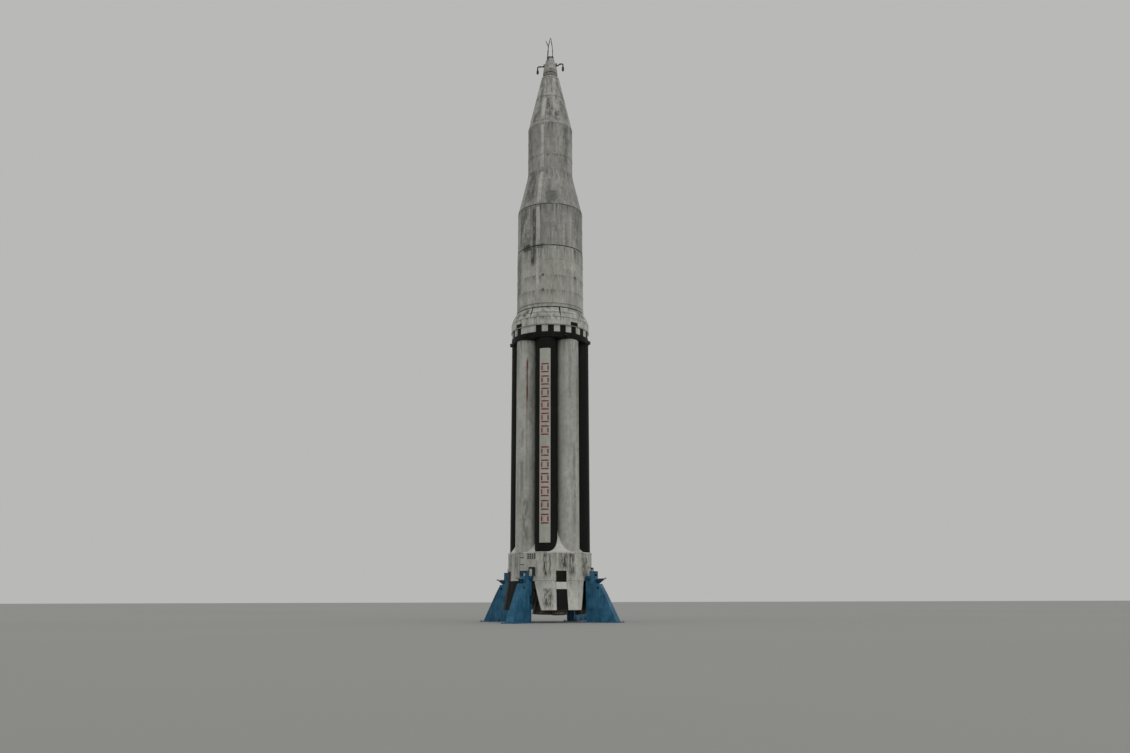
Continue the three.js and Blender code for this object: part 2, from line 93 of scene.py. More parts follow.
class Graph:
    """A material's node tree, with short calls for the nodes that the finishes share."""

    def __init__(self, name):
        self.material = bpy.data.materials.new(name)
        self.material.use_nodes = True
        self.tree = self.material.node_tree
        self.shader = self.tree.nodes["Principled BSDF"]
        coords = self.tree.nodes.new("ShaderNodeTexCoord").outputs["Object"]
        self.position = self.vector_math("MULTIPLY", coords, (1 / SCALE,) * 3)
        self.x, self.y, self.z = self.node("SeparateXYZ", {0: self.position}).outputs

    def link(self, source, socket):
        if isinstance(source, bpy.types.NodeSocket):
            self.tree.links.new(source, socket)
        else:
            socket.default_value = source

    def node(self, kind, inputs, **settings):
        """A new node, with a link or a constant for each input named."""
        node = self.tree.nodes.new("ShaderNode" + kind)
        for name, value in settings.items():
            setattr(node, name, value)
        for name, source in inputs.items():
            self.link(source, node.inputs[name])
        return node

    def math(self, operation, a, b=0.0, clamp=False):
        return self.node("Math", {0: a, 1: b}, operation=operation, use_clamp=clamp).outputs[0]

    def times(self, a, b):
        return self.math("MULTIPLY", a, b)

    def vector_math(self, operation, a, b):
        return self.node("VectorMath", {0: a, 1: b}, operation=operation).outputs[0]

    def noise(self, stretch, detail=4.0, roughness=0.55, offset=0.0):
        """Noise on the position, stretched by a factor along X, Y and Z."""
        scaled = self.vector_math("MULTIPLY", self.position, stretch)
        moved = self.vector_math("ADD", scaled, (offset,) * 3)
        inputs = {"Vector": moved, "Scale": 1.0, "Detail": detail, "Roughness": roughness}
        return self.node("TexNoise", inputs).outputs["Fac"]

    def ranged(self, value, low, high, to_low=0.0, to_high=1.0):
        inputs = {"Value": value, "From Min": low, "From Max": high, "To Min": to_low, "To Max": to_high}
        return self.node("MapRange", inputs).outputs["Result"]

    def ramp(self, value, stops, interpolation="LINEAR"):
        """A grey ramp from (place, level) stops, places from 0 to 1."""
        node = self.node("ValToRGB", {0: value})
        node.color_ramp.interpolation = interpolation
        elements = node.color_ramp.elements
        elements.remove(elements[1])
        for i, (place, level) in enumerate(sorted(stops)):
            element = elements[0] if i == 0 else elements.new(place)
            element.position = place
            element.color = (level, level, level, 1)
        return node.outputs["Color"]

    def mix(self, factor, a, b):
        a, b = ((*color, 1) if isinstance(color, tuple) else color for color in (a, b))
        return self.node("Mix", {0: factor, 6: a, 7: b}, data_type="RGBA").outputs[2]

    def azimuth_turns(self):
        """The azimuth of the point as a part of a turn, from -0.5 to 0.5, with 0 at the front."""
        angle = self.math("ARCTAN2", self.x, self.times(self.y, -1.0))
        return self.math("DIVIDE", angle, 2 * math.pi)

    def finish(self, color, roughness, metallic=0.0, bump=None, bump_distance=0.004):
        for name, source in (("Base Color", color), ("Roughness", roughness), ("Metallic", metallic)):
            self.link(source, self.shader.inputs[name])
        if bump is not None:
            inputs = {"Strength": BUMP_STRENGTH, "Distance": bump_distance, "Height": bump}
            self.link(self.node("Bump", inputs).outputs[0], self.shader.inputs["Normal"])
        return self.material


def drip_stops(seams, low, high):
    """Ramp stops for grime that starts at each seam and fades out below it, from (height, length, level)."""
    stops = {0.0: 0.0}
    for height, length, level in seams:
        at = (height - low) / (high - low)
        stops[max(at - length / (high - low), 0.001)] = 0.0
        stops[at] = level
        stops[min(at + 0.0005, 1.0)] = 0.0
    return list(stops.items())


def line_stops(seams, low, high, half_width):
    """Ramp stops for a dark line at each seam."""
    stops = {0.0: 0.0}
    half = half_width / (high - low)
    for height, _, level in seams:
        at = (height - low) / (high - low)
        stops[max(at - half, 0.0005)] = level
        stops[min(at + half, 1.0)] = 0.0
    return list(stops.items())


def stain(g, azimuth, half, low, high, strength, ragged):
    """A ragged patch of grime round one azimuth (degrees, with its half width) between two heights."""
    off = g.math("ABSOLUTE", g.math("SUBTRACT", g.azimuth_turns(), azimuth / 360))
    across = g.ranged(off, 0.45 * half / 360, 1.15 * half / 360, 1.0, 0.0)
    fade = 0.22 * (high - low)
    bottom = g.ranged(g.z, low - 0.3 * fade, low + fade)
    top = g.ranged(g.z, high - 0.35 * fade, high + 0.15 * fade, 1.0, 0.0)
    return g.times(g.times(g.times(across, g.times(bottom, top)), ragged), strength)


def weathered_paint(name, base, pale, grime, *, low, high, seams=(), streaks=0.6, mildew=0.5, panels=None,
                    panel_contrast=0.5, seam_half_width=0.02, stains=(), rust=(), wear=0.0, mottle=0.25,
                    ragged_grain=(2.2, 2.2, 0.7)):
    """Old paint on sheet metal: pale and dull patches, grime that runs down from the seams and a dark line at
    each seam, mildew specks, worn pale runs, and stains from a table of azimuth, half width, low, high and
    strength. The dark line at the white tanks' top seam, under the black ring, is painted shade."""
    g = Graph(name)
    tone = g.noise((1.1, 1.1, 0.35), detail=5, offset=3.1)
    color = g.mix(g.ranged(tone, 0.35, 0.68), base, pale)
    if panels:
        turns, height = panels
        column = g.math("FLOOR", g.times(g.azimuth_turns(), turns))
        cell = g.node("CombineXYZ", {0: column, 1: g.math("FLOOR", g.math("DIVIDE", g.z, height))})
        random_tone = g.node("TexWhiteNoise", {"Vector": cell.outputs[0]}).outputs["Value"]
        shade = g.ranged(random_tone, 0.0, 1.0, 0.0, panel_contrast)
        color = g.mix(shade, color, tuple(0.62 * c for c in base))
    if wear:
        run = g.noise((4.5, 4.5, 0.14), detail=6, roughness=0.66, offset=51.0)
        worn = tuple(min(1.3 * c, 0.85) for c in pale)
        color = g.mix(g.ranged(run, 0.54, 0.66, 0.0, wear), color, worn)
    blotch = g.noise((3.4, 3.4, 2.2), detail=8, roughness=0.74, offset=61.0)
    color = g.mix(g.ranged(blotch, 0.44, 0.62, 0.0, mottle), color, tuple(0.45 * c for c in base))
    long_streak = g.noise((2.3, 2.3, 0.09), detail=5, roughness=0.62, offset=11.0)
    fine_streak = g.noise((9.0, 9.0, 0.22), detail=4, roughness=0.6, offset=5.0)
    run = g.times(g.ranged(long_streak, 0.5, 0.7), g.ranged(fine_streak, 0.35, 0.62))
    dirt_and_shade = g.math("MULTIPLY", run, streaks, clamp=True)
    if seams:
        height_share = g.ranged(g.z, low, high)
        drips = g.ramp(height_share, drip_stops(seams, low, high))
        drip_run = g.ranged(g.noise((6.0, 6.0, 0.3), detail=3, offset=21.0), 0.42, 0.66)
        dirt_and_shade = g.math("MAXIMUM", dirt_and_shade, g.times(drips, drip_run))
        # A dark line at each seam: grime in the joint, and painted shade at the white tanks' top under the
        # ring
        lines = g.ramp(height_share, line_stops(seams, low, high, seam_half_width), "CONSTANT")
        broken = g.ranged(g.noise((0.8, 0.8, 0.8), detail=2, offset=31.0), 0.3, 0.5, 0.55, 1.0)
        dirt_and_shade = g.math("MAXIMUM", dirt_and_shade, g.times(lines, broken))
    speck = g.ranged(g.noise((14.0, 14.0, 7.0), detail=6, roughness=0.7, offset=2.0), 0.56, 0.72)
    field = g.ranged(g.noise((0.7, 0.7, 0.3), detail=3, offset=41.0), 0.42, 0.66)
    dirt_and_shade = g.math("MAXIMUM", dirt_and_shade, g.times(g.times(speck, field), mildew))
    ragged = g.ranged(g.noise(ragged_grain, detail=8, roughness=0.74, offset=17.0), 0.41, 0.53)
    for row in stains:
        dirt_and_shade = g.math("MAXIMUM", dirt_and_shade, stain(g, *row, ragged))
    # Grime, and the painted shade of the white tanks' top line, over the paint
    color = g.mix(dirt_and_shade, color, grime)
    broken_rust = g.ranged(g.noise((5.0, 5.0, 1.2), detail=4, offset=71.0), 0.3, 0.5, 0.35, 1.0)
    for row in rust:
        color = g.mix(stain(g, *row, broken_rust), color, RUST)
    fine = g.noise(FINE_GRAIN, detail=3)
    return g.finish(color, g.ranged(dirt_and_shade, 0.0, 1.0, 0.62, 0.85), bump=fine, bump_distance=0.0015)


# Seams: height, length of the drips below, level of dirt
UPPER_SEAMS = [
    (NOSE_CAP, 1.2, 0.9), (45.2, 0.9, 0.8), (NOSE_CONE, 1.6, 0.6), (39.3, 0.3, 1.0), (THIRD_STAGE, 1.2, 0.9),
    (ADAPTER, 1.4, 0.85), (SECOND_STAGE_STEP, 1.6, 1.0), (28.0, 0.9, 0.7), (26.7, 0.7, 0.7), (25.5, 0.3, 0.6),
]
CAP_SEAMS = [(NOSE_TOP - 0.05, 0.4, 0.7), (47.85, 0.15, 1.0), (CAP_FOOT + 0.06, 0.05, 0.95)]

# Stains: azimuth, half width, low, high, strength
NOSE_STAINS = [
    (2, 9, 43.3, 45.0, 0.75), (4, 14, 42.4, 43.5, 0.6), (-30, 9, 42.4, 46.6, 0.5),
    (-38, 14, 42.4, 43.6, 0.6), (28, 12, 42.4, 43.6, 0.7), (46, 9, 43.0, 47.0, 0.6),
    (-10, 3, 45.3, 47.0, 0.5), (14, 3, 45.4, 47.1, 0.6), (60, 14, 42.4, 46.0, 0.5),
    (140, 16, 42.6, 46.0, 0.6), (-150, 14, 42.6, 46.0, 0.6), (-70, 12, 42.4, 46.0, 0.5),
]
CAP_STAINS = [(-30, 30, 49.0, 49.6, 0.8), (20, 30, 47.7, 48.3, 0.6)]
UPPER_STAINS = [
    (-30, 6, 34.3, 37.6, 0.75), (-38, 16, 34.3, 37.9, 0.65), (8, 16, 34.2, 35.7, 0.55),
    (2, 9, 35.0, 36.9, 0.5), (-21.5, 5, 28.9, 34.2, 0.85), (-44, 22, 30.6, 34.4, 0.65),
    (-36, 16, 30.2, 30.9, 0.9), (-12, 12, 30.25, 30.8, 0.8), (-24, 5, 28.8, 30.5, 0.9),
    (-62, 12, 25.8, 30.4, 0.6), (-58, 14, 38.0, 42.2, 0.55), (-30, 10, 39.4, 42.3, 0.4),
    (52, 12, 38.2, 42.2, 0.6), (64, 12, 30.8, 34.2, 0.5), (16, 5, 31.8, 32.4, 0.4),
    (140, 16, 27.0, 37.0, 0.6), (-150, 14, 26.0, 34.0, 0.6),
]
TANK_STAINS = [
    (-33, 5, 5.6, 9.5, 0.7), (-38, 3, 8.0, 15.5, 0.5), (-27, 3, 14.0, 22.4, 0.45),
    (44, 3, 6.0, 14.0, 0.5), (52, 4, 12.0, 21.0, 0.5), (38, 3, 17.0, 22.4, 0.4),
]
TANK_RUST = [
    (-31.3, 1.35, 16.6, 21.0, 1.0), (-31.6, 1.6, 9.5, 17.5, 0.3), (48, 0.5, 17.5, 20.0, 0.4),
    (131, 0.6, 14.0, 19.0, 0.8), (-140, 0.6, 15.0, 20.5, 0.8),
]
FAIRING_STAINS = [
    (-3, 4, 24.72, 25.15, 0.75), (-33, 7, 24.35, 25.1, 0.85), (-50, 6, 24.3, 25.0, 0.7),
    (30, 5, 24.3, 24.8, 0.5), (-10, 9, 24.26, 24.5, 0.5), (9, 8, 24.26, 24.45, 0.45),
    (58, 8, 24.3, 25.1, 0.7), (130, 15, 24.3, 25.1, 0.7), (-140, 15, 24.3, 25.1, 0.7),
]
TAIL_STAINS = [
    (1, 3.2, 3.2, 5.3, 1.0), (7, 2.2, 3.3, 5.3, 0.8), (26, 8, 3.9, 5.28, 0.95), (38, 6, 3.4, 5.28, 0.95),
    (-45, 6, 3.3, 5.1, 0.6), (-62, 8, 3.4, 5.2, 0.7), (62, 9, 3.2, 5.0, 0.8), (5, 7, 1.0, 2.6, 0.9),
    (-11, 3, 3.2, 4.7, 0.4), (120, 14, 3.3, 5.3, 0.8), (-130, 16, 3.2, 5.2, 0.8), (180, 8, 3.3, 5.3, 0.8),
]
STAGE_GRIME = (0.045, 0.048, 0.041)
STAGES = dict(low=25, high=50, mildew=0.75, panels=(12, 2.6), stains=UPPER_STAINS, wear=0.4)

# Each weathered paint: its base, pale and grime colours, and how it has aged
WEATHERED = {
    "upper_stages": (
        ((0.44, 0.435, 0.405), (0.62, 0.61, 0.57), STAGE_GRIME),
        dict(STAGES, seams=UPPER_SEAMS, mottle=0.5)),
    "nose_paint": (
        ((0.46, 0.455, 0.42), (0.66, 0.65, 0.61), STAGE_GRIME),
        dict(low=42, high=50, seams=[(NOSE_CAP, 1.2, 0.8), (45.2, 0.9, 0.7)], streaks=0.75, mildew=0.7,
             stains=NOSE_STAINS, wear=0.7, mottle=0.45, ragged_grain=(3.0, 3.0, 1.2))),
    "nose_cap": (
        ((0.42, 0.415, 0.385), (0.6, 0.59, 0.55), (0.03, 0.032, 0.028)),
        dict(low=45, high=50, seams=CAP_SEAMS, streaks=0.8, mildew=1.0, mottle=0.7, stains=CAP_STAINS,
             ragged_grain=(7.0, 7.0, 4.0), seam_half_width=0.05)),
    "lower_stage": (
        ((0.53, 0.53, 0.475), (0.74, 0.735, 0.675), (0.05, 0.053, 0.046)),
        dict(STAGES, seams=UPPER_SEAMS, streaks=0.5, panel_contrast=0.35, mottle=0.4)),
    # The cable tunnel is paler than the stage: painted highlight for its lit edge
    "pale_tunnel": (
        ((0.6, 0.59, 0.555), (0.76, 0.75, 0.71), (0.1, 0.1, 0.09)),
        dict(low=25, high=50, seams=UPPER_SEAMS[3:], mildew=0.6, wear=0.4, mottle=0.35)),
    # White tanks: the dark line at the top seam, under the black ring, is painted shade; the runs fading out
    # below it are grime
    "white_tank": (
        ((0.5, 0.505, 0.46), (0.68, 0.68, 0.63), (0.13, 0.13, 0.1)),
        dict(low=5, high=23, seams=[(TANK_TOP - 0.06, 2.0, 0.75)], seam_half_width=0.07, mildew=0.7,
             mottle=0.35, stains=TANK_STAINS, rust=TANK_RUST)),
    "white_fairing": (
        ((0.56, 0.565, 0.515), (0.82, 0.82, 0.76), (0.045, 0.048, 0.038)),
        dict(low=22, high=26, seams=[(PETAL_TOP, 0.35, 0.95), (PETAL_FOLD, 0.2, 0.7), (BAND_TOP, 0.4, 0.85),
                                     (CHECKER_TOP, 0.1, 0.6)], seam_half_width=0.03, streaks=0.7, mildew=0.9,
             mottle=0.4, wear=0.6, stains=FAIRING_STAINS, ragged_grain=(4.0, 4.0, 1.5))),
    "white_tail": (
        ((0.61, 0.62, 0.55), (0.8, 0.8, 0.73), (0.055, 0.058, 0.042)),
        dict(low=0.5, high=5.5, seams=[(BARREL_TOP - 0.1, 1.6, 0.55), (BARREL_FOOT, 0.5, 0.5)], streaks=0.55,
             mildew=0.9, mottle=0.35, stains=TAIL_STAINS, ragged_grain=(13.0, 13.0, 1.7))),
    "bright_white": (
        ((0.76, 0.75, 0.7), (0.84, 0.83, 0.78), (0.36, 0.35, 0.28)),
        dict(low=5, high=23, streaks=0.4, mildew=0.4)),
    "stripe_white": (
        ((0.5, 0.525, 0.46), (0.58, 0.6, 0.535), (0.27, 0.27, 0.21)),
        dict(low=5, high=23, streaks=0.4, mildew=0.35)),
}


def black_paint(name):
    """Black paint gone chalky in runs, with a little green in patches."""
    g = Graph(name)
    g.shader.inputs["Specular IOR Level"].default_value = 0.12
    chalk = g.ranged(g.noise((3.0, 3.0, 0.12), detail=5, offset=9.0), 0.5, 0.75)
    color = g.mix(chalk, (0.0085, 0.0098, 0.0085), (0.022, 0.024, 0.02))
    patch = g.ranged(g.noise((1.2, 1.2, 0.6), detail=4, offset=1.0), 0.55, 0.75, 0.0, 0.5)
    color = g.mix(patch, color, (0.018, 0.022, 0.014))
    return g.finish(color, g.ranged(chalk, 0, 1, 0.5, 0.75), bump=g.noise(FINE_GRAIN), bump_distance=0.0015)


def red_paint(name):
    g = Graph(name)
    worn = g.ranged(g.noise((8.0, 8.0, 3.0), detail=6, offset=2.0), 0.54, 0.74)
    color = g.mix(worn, (0.3, 0.03, 0.03), (0.4, 0.15, 0.12))
    return g.finish(color, 0.6, bump=g.noise(FINE_GRAIN), bump_distance=0.001)


def blue_paint(name, base, bleached, grime):
    """Blue gloss paint on plate, sun-bleached in patches, dirty in runs and rusty in specks."""
    g = Graph(name)
    g.shader.inputs["Specular IOR Level"].default_value = 0.35
    patch = g.ranged(g.noise((1.8, 1.8, 1.2), detail=4), 0.4, 0.7)
    color = g.mix(patch, base, bleached)
    run = g.ranged(g.noise((7.0, 7.0, 0.5), detail=4, offset=6.0), 0.5, 0.72, 0.0, 0.7)
    color = g.mix(run, color, grime)
    rust = g.ranged(g.noise((12.0, 12.0, 8.0), detail=7, roughness=0.7, offset=14.0), 0.64, 0.74, 0.0, 0.8)
    color = g.mix(rust, color, (0.11, 0.045, 0.02))
    fine = g.noise((30.0, 30.0, 30.0))
    return g.finish(color, g.ranged(rust, 0, 1, 0.45, 0.8), bump=fine, bump_distance=0.002)


def bare_metal(name, color, dark, roughness, stretch=(10.0, 10.0, 10.0), metallic=0.75):
    """Dull metal with heat tints and soot."""
    g = Graph(name)
    soot = g.ranged(g.noise(stretch, detail=6, roughness=0.65), 0.4, 0.7)
    shade = g.mix(soot, color, dark)
    rust = g.ranged(g.noise((9.0, 9.0, 5.0), detail=7, roughness=0.7, offset=8.0), 0.6, 0.75, 0.0, 0.7)
    shade = g.mix(rust, shade, (0.11, 0.05, 0.025))
    return g.finish(shade, g.ranged(soot, 0, 1, roughness, 0.75), metallic, bump=soot, bump_distance=0.003)


def plain_finish(name, base, worn, roughness, stretch):
    """A plain colour, varied a little in patches: a worn coat on the red glass, and painted shade in the
    hollows.
    """
    g = Graph(name)
    wear = g.ranged(g.noise(stretch, detail=5), 0.42, 0.7)
    return g.finish(g.mix(wear, base, worn), roughness, bump=wear, bump_distance=0.001)


FINISHES = {
    "black_paint": (black_paint,),
    "red_paint": (red_paint,),
    "blue_paint": (blue_paint, (0.018, 0.13, 0.245), (0.05, 0.225, 0.37), (0.012, 0.05, 0.085)),
    "pale_blue": (blue_paint, (0.16, 0.24, 0.3), (0.28, 0.36, 0.4), (0.03, 0.07, 0.1)),
    # The stand's blue darkened as painted shade, for trim, seat plates, bracket, rail and junction box
    "dark_blue": (blue_paint, (0.008, 0.035, 0.075), (0.018, 0.06, 0.11), (0.006, 0.012, 0.02)),
    "steel": (bare_metal, (0.22, 0.205, 0.19), (0.08, 0.073, 0.066), 0.45),
    "bell_steel": (bare_metal, (0.24, 0.2, 0.165), (0.1, 0.078, 0.062), 0.4, (14.0, 14.0, 2.0)),
    "galvanised": (bare_metal, (0.3, 0.31, 0.31), (0.16, 0.16, 0.16), 0.5, (25.0, 25.0, 25.0)),
    "dark_steel": (bare_metal, (0.05, 0.047, 0.045), (0.02, 0.019, 0.018), 0.55, (10.0, 10.0, 10.0), 0.4),
    # Near-black for openings and hollows: painted shade
    "dark_void": (plain_finish, (0.008, 0.008, 0.008), (0.018, 0.017, 0.015), 0.9, (3.0, 3.0, 3.0)),
    "red_glass": (plain_finish, (0.085, 0.006, 0.006), (0.05, 0.02, 0.018), 0.3, (40.0, 40.0, 20.0)),
}
materials = {name: weathered_paint(name, *colors, **age) for name, (colors, age) in WEATHERED.items()}
materials |= {name: make(name, *values) for name, (make, *values) in FINISHES.items()}


# Mesh building

SHARP_ANGLE = 35


def outward(azimuth):
    """A turn about the rocket's axis that takes local +X to the azimuth."""
    return Matrix.Rotation(math.radians(azimuth - 90), 4, "Z")


def polar(r, azimuth, z):
    a = math.radians(azimuth)
    return (r * math.sin(a), -r * math.cos(a), z)


def placed(name, data):
    """A new object in the scene."""
    made = bpy.data.objects.new(name, data)
    bpy.context.scene.collection.objects.link(made)
    return made


class Shape:
    """Points and faces in full-size metres. Each face has a paint, the shape's own where none is given."""

    def __init__(self, paint):
        self.paint = paint
        self.points = []
        self.faces = []
        self.paints = []

    def add(self, points, faces, paint=None, matrix=None):
        first = len(self.points)
        if matrix is not None:
            points = [tuple(matrix @ Vector(p)) for p in points]
        self.points += points
        self.faces += [tuple(first + i for i in face) for face in faces]
        self.paints += paint if isinstance(paint, list) else [paint or self.paint] * len(faces)
        return self

    def join(self, other, matrix=None):
        return self.add(other.points, other.faces, other.paints, matrix)

    def lathe(self, profile, paint=None, segments=128, matrix=None):
        """A solid of revolution about Z. A closed profile stays off the axis, or else both ends are on it.
        paint is a name, or a function of the azimuth and of the profile's stretch."""
        on_axis = profile[0][0] == 0
        rings = profile[1:-1] if on_axis else profile
        count = len(rings)
        step = 360 / segments
        points, faces, paints = [], [], []
        for r, z in rings:
            points += [polar(r, step * i, z) for i in range(segments)]

        def cover(stretch, i, *face):
            faces.append(face)
            paints.append(paint(step * (i + 0.5), stretch) if callable(paint) else paint or self.paint)

        for j in range(count - 1 if on_axis else count):
            below, above = j * segments, (j + 1) % count * segments
            for i in range(segments):
                k = (i + 1) % segments
                cover(j, i, below + i, below + k, above + k, above + i)
        for end, (_, z) in zip((0, count - 1) if on_axis else (), (profile[0], profile[-1])):
            pole, ring = len(points), end * segments
            points.append((0, 0, z))
            for i in range(segments):
                cover(end, i, pole, ring + i, ring + (i + 1) % segments)
        return self.add(points, faces, paints, matrix)

    def loft(self, sections, paint=None, matrix=None):
        """A body through loops of points, with a flat end on the first and on the last."""
        n = len(sections[0])
        last = (len(sections) - 1) * n
        faces = [(j + i, j + (i + 1) % n, j + n + (i + 1) % n, j + n + i)
                 for j in range(0, last, n) for i in range(n)]
        faces += [tuple(range(n - 1, -1, -1)), tuple(range(last, last + n))]
        return self.add([p for section in sections for p in section], faces, paint, matrix)

    def prism(self, outline, low, high, paint=None, matrix=None):
        """An outline of (x, z) points, run from y = low to y = high."""
        return self.loft([[(x, y, z) for x, z in outline] for y in (low, high)], paint, matrix)

    def box(self, low, high, paint=None, matrix=None):
        (x0, y0, z0), (x1, y1, z1) = low, high
        return self.prism([(x0, z0), (x1, z0), (x1, z1), (x0, z1)], y0, y1, paint, matrix)

    def curved_plate(self, half_angle, low, high, radius, thick, paint=None, matrix=None, steps=8):
        """A plate bent round the Z axis: radius is a number, or a function of the height."""
        at = radius if callable(radius) else lambda z: radius
        angles = [90 + half_angle * (2 * i / steps - 1) for i in range(steps + 1)]
        corners = [(0, low), (0, high), (thick, high), (thick, low)]
        return self.loft([[polar(at(z) + t, a, z) for t, z in corners] for a in angles], paint, matrix)

    def tube(self, path, radius, sides=12, paint=None, matrix=None):
        """A round bar along a path, closed at both ends: radius is a number, or one for each point."""
        path = [Vector(p) for p in path]
        radii = radius if isinstance(radius, list) else [radius] * len(path)
        turns = [2 * math.pi * k / sides for k in range(sides)]
        sections = []
        normal = None
        for i, (p, r) in enumerate(zip(path, radii)):
            ahead = (path[min(i + 1, len(path) - 1)] - path[max(i - 1, 0)]).normalized()
            if normal is None:
                normal = ahead.orthogonal().normalized()
            normal = (normal - ahead * normal.dot(ahead)).normalized()
            side = ahead.cross(normal)
            sections.append([tuple(p + r * (math.cos(a) * normal + math.sin(a) * side)) for a in turns])
        return self.loft(sections, paint, matrix)

    def build(self, name, *replaced, body=BODY, slot="white_paint", bevel=0.0):
        """The piece of the scene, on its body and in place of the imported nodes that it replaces."""
        mesh = bpy.data.meshes.new(name)
        mesh.from_pydata([tuple(SCALE * c for c in p) for p in self.points], [], self.faces)
        names = list(dict.fromkeys(self.paints))
        for paint in names:
            mesh.materials.append(materials[paint])
        mesh.polygons.foreach_set("material_index", [names.index(paint) for paint in self.paints])
        mesh.polygons.foreach_set("use_smooth", [True] * len(mesh.polygons))
        work = bmesh.new()
        work.from_mesh(mesh)
        bmesh.ops.recalc_face_normals(work, faces=work.faces)
        work.to_mesh(mesh)
        work.free()
        mesh.set_sharp_from_angle(angle=math.radians(SHARP_ANGLE))
        mesh.update()
        piece = placed(name, mesh)
        if bevel:
            modifier = piece.modifiers.new("edges", "BEVEL")
            modifier.width = bevel * SCALE
            modifier.segments = 2
            modifier.limit_method = "ANGLE"
        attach(piece, body)
        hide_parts(*replaced)


def smooth_path(points, steps=8):
    """A Catmull-Rom curve through the points."""
    p = [Vector(points[0]), *map(Vector, points), Vector(points[-1])]
    path = []
    for i in range(1, len(p) - 2):
        for k in range(steps):
            t = k / steps
            a, b, c, d = p[i - 1], p[i], p[i + 1], p[i + 2]
            path.append(0.5 * (2 * b + (c - a) * t + (2 * a - 5 * b + 4 * c - d) * t ** 2
                               + (3 * b - a - 3 * c + d) * t ** 3))
    return [*path, p[-1]]


def banded(profile, bands, proud=0.012, half=0.03):
    """The profile with a raised band at each height, on its straight stretches."""
    out = [profile[0]]
    for (r0, z0), (r1, z1) in zip(profile, profile[1:]):
        for z in sorted(bands):
            if z0 < z - half and z + half < z1:
                at = lambda h: r0 + (r1 - r0) * (h - z0) / (z1 - z0)
                out += [(at(z - half), z - half), (at(z - half) + proud, z - half),
                        (at(z + half) + proud, z + half), (at(z + half), z + half)]
        out.append((r1, z1))
    return out


# Nose

COLLAR = {"r": 0.78, "neck": 0.58, "top": NOSE_CAP + 0.21}
COLLAR_BOLTS = {"count": 24, "r": 0.69}
CAP_SIDE = [(0.64, CAP_FOOT), (0.655, 47.9), (0.585, 48.5), (0.43, 49.11), (NOSE_TIP_R, NOSE_TOP)]
CAP_BANDS = [47.75, 48.2, 49.3]
NOSE_BANDS = [43.2, 45.2]
ROD_PLATE_R = 0.31
RODS = [
    [(-0.23, -0.06, 49.58), (-0.23, -0.06, 50.08), (-0.19, -0.06, 50.75), (-0.43, -0.04, 51.38)],
    [(0.215, -0.06, 49.58), (0.215, -0.06, 50.08), (0.18, -0.06, 50.65), (0.05, -0.06, 51.62)],
    [(-0.21, 0.06, 49.58), (-0.21, 0.06, 50.08), (-0.16, 0.04, 50.9), (0.03, -0.05, 51.61)],
]
LIGHTS = [
    {"side": "left", "sign": -1, "arm_z": 48.78, "rise": 0.0, "reach": 1.15, "lamp": (48.05, 48.4)},
    {"side": "right", "sign": 1, "arm_z": 48.8, "rise": 0.13, "reach": 1.15, "lamp": (48.21, 48.59)},
]


def build_nose():
    r, neck, top = COLLAR["r"], COLLAR["neck"], COLLAR["top"]
    foot, cone_top = (THIRD_STAGE_R, NOSE_CONE), (NOSE_BASE_R, NOSE_CAP)
    cone = Shape("nose_paint").lathe(banded([
        (0, NOSE_CONE), foot, cone_top, (r, NOSE_CAP + 0.005), (r, top - 0.02), (r - 0.02, top), (neck, top),
        (neck, CAP_FOOT), (0, CAP_FOOT),
    ], NOSE_BANDS))
    cable_tunnel(cone, 42.55, 44.9, foot, cone_top)
    bolt = [(COLLAR_BOLTS["r"], 0, top - 0.01), (COLLAR_BOLTS["r"], 0, top + 0.025)]
    for i in range(COLLAR_BOLTS["count"]):
        turn = Matrix.Rotation(2 * math.pi * i / COLLAR_BOLTS["count"], 4, "Z")
        cone.tube(bolt, 0.018, 6, "galvanised", turn)
    cone.build("nose_cone_skin", "nose_cone", slot="weathered_grey_paint")

    side = banded([(0, CAP_FOOT), *CAP_SIDE, (0, NOSE_TOP)], CAP_BANDS, proud=0.01, half=0.02)
    cap = Shape("nose_cap").lathe(side, segments=64)
    cap.build("nose_cap_skin", "nose_cap", slot="weathered_grey_paint")

    plate_top = NOSE_TOP + 0.04
    plate = [(0, NOSE_TOP), (ROD_PLATE_R, NOSE_TOP), (ROD_PLATE_R, plate_top), (0, plate_top)]
    rods = Shape("dark_steel").lathe(plate, segments=48)
    for route in RODS:
        path = smooth_path(route)
        rods.tube(path, [0.03] * (len(path) - 4) + [0.028, 0.024, 0.018, 0.006], 10)
        x, y, _ = route[0]
        rods.tube([(x, y, plate_top), (x, y, plate_top + 0.14)], 0.055)
        for at in (0.42, 0.74):
            low, high = path[int(at * len(path))], path[int(at * len(path)) + 1]
            rods.tube([low, low.lerp(high, 0.9)], 0.042)
    rods.build("lightning_rod_set", "lightning_rods", slot="engine_steel")

    for row in LIGHTS:
        build_light(**row)


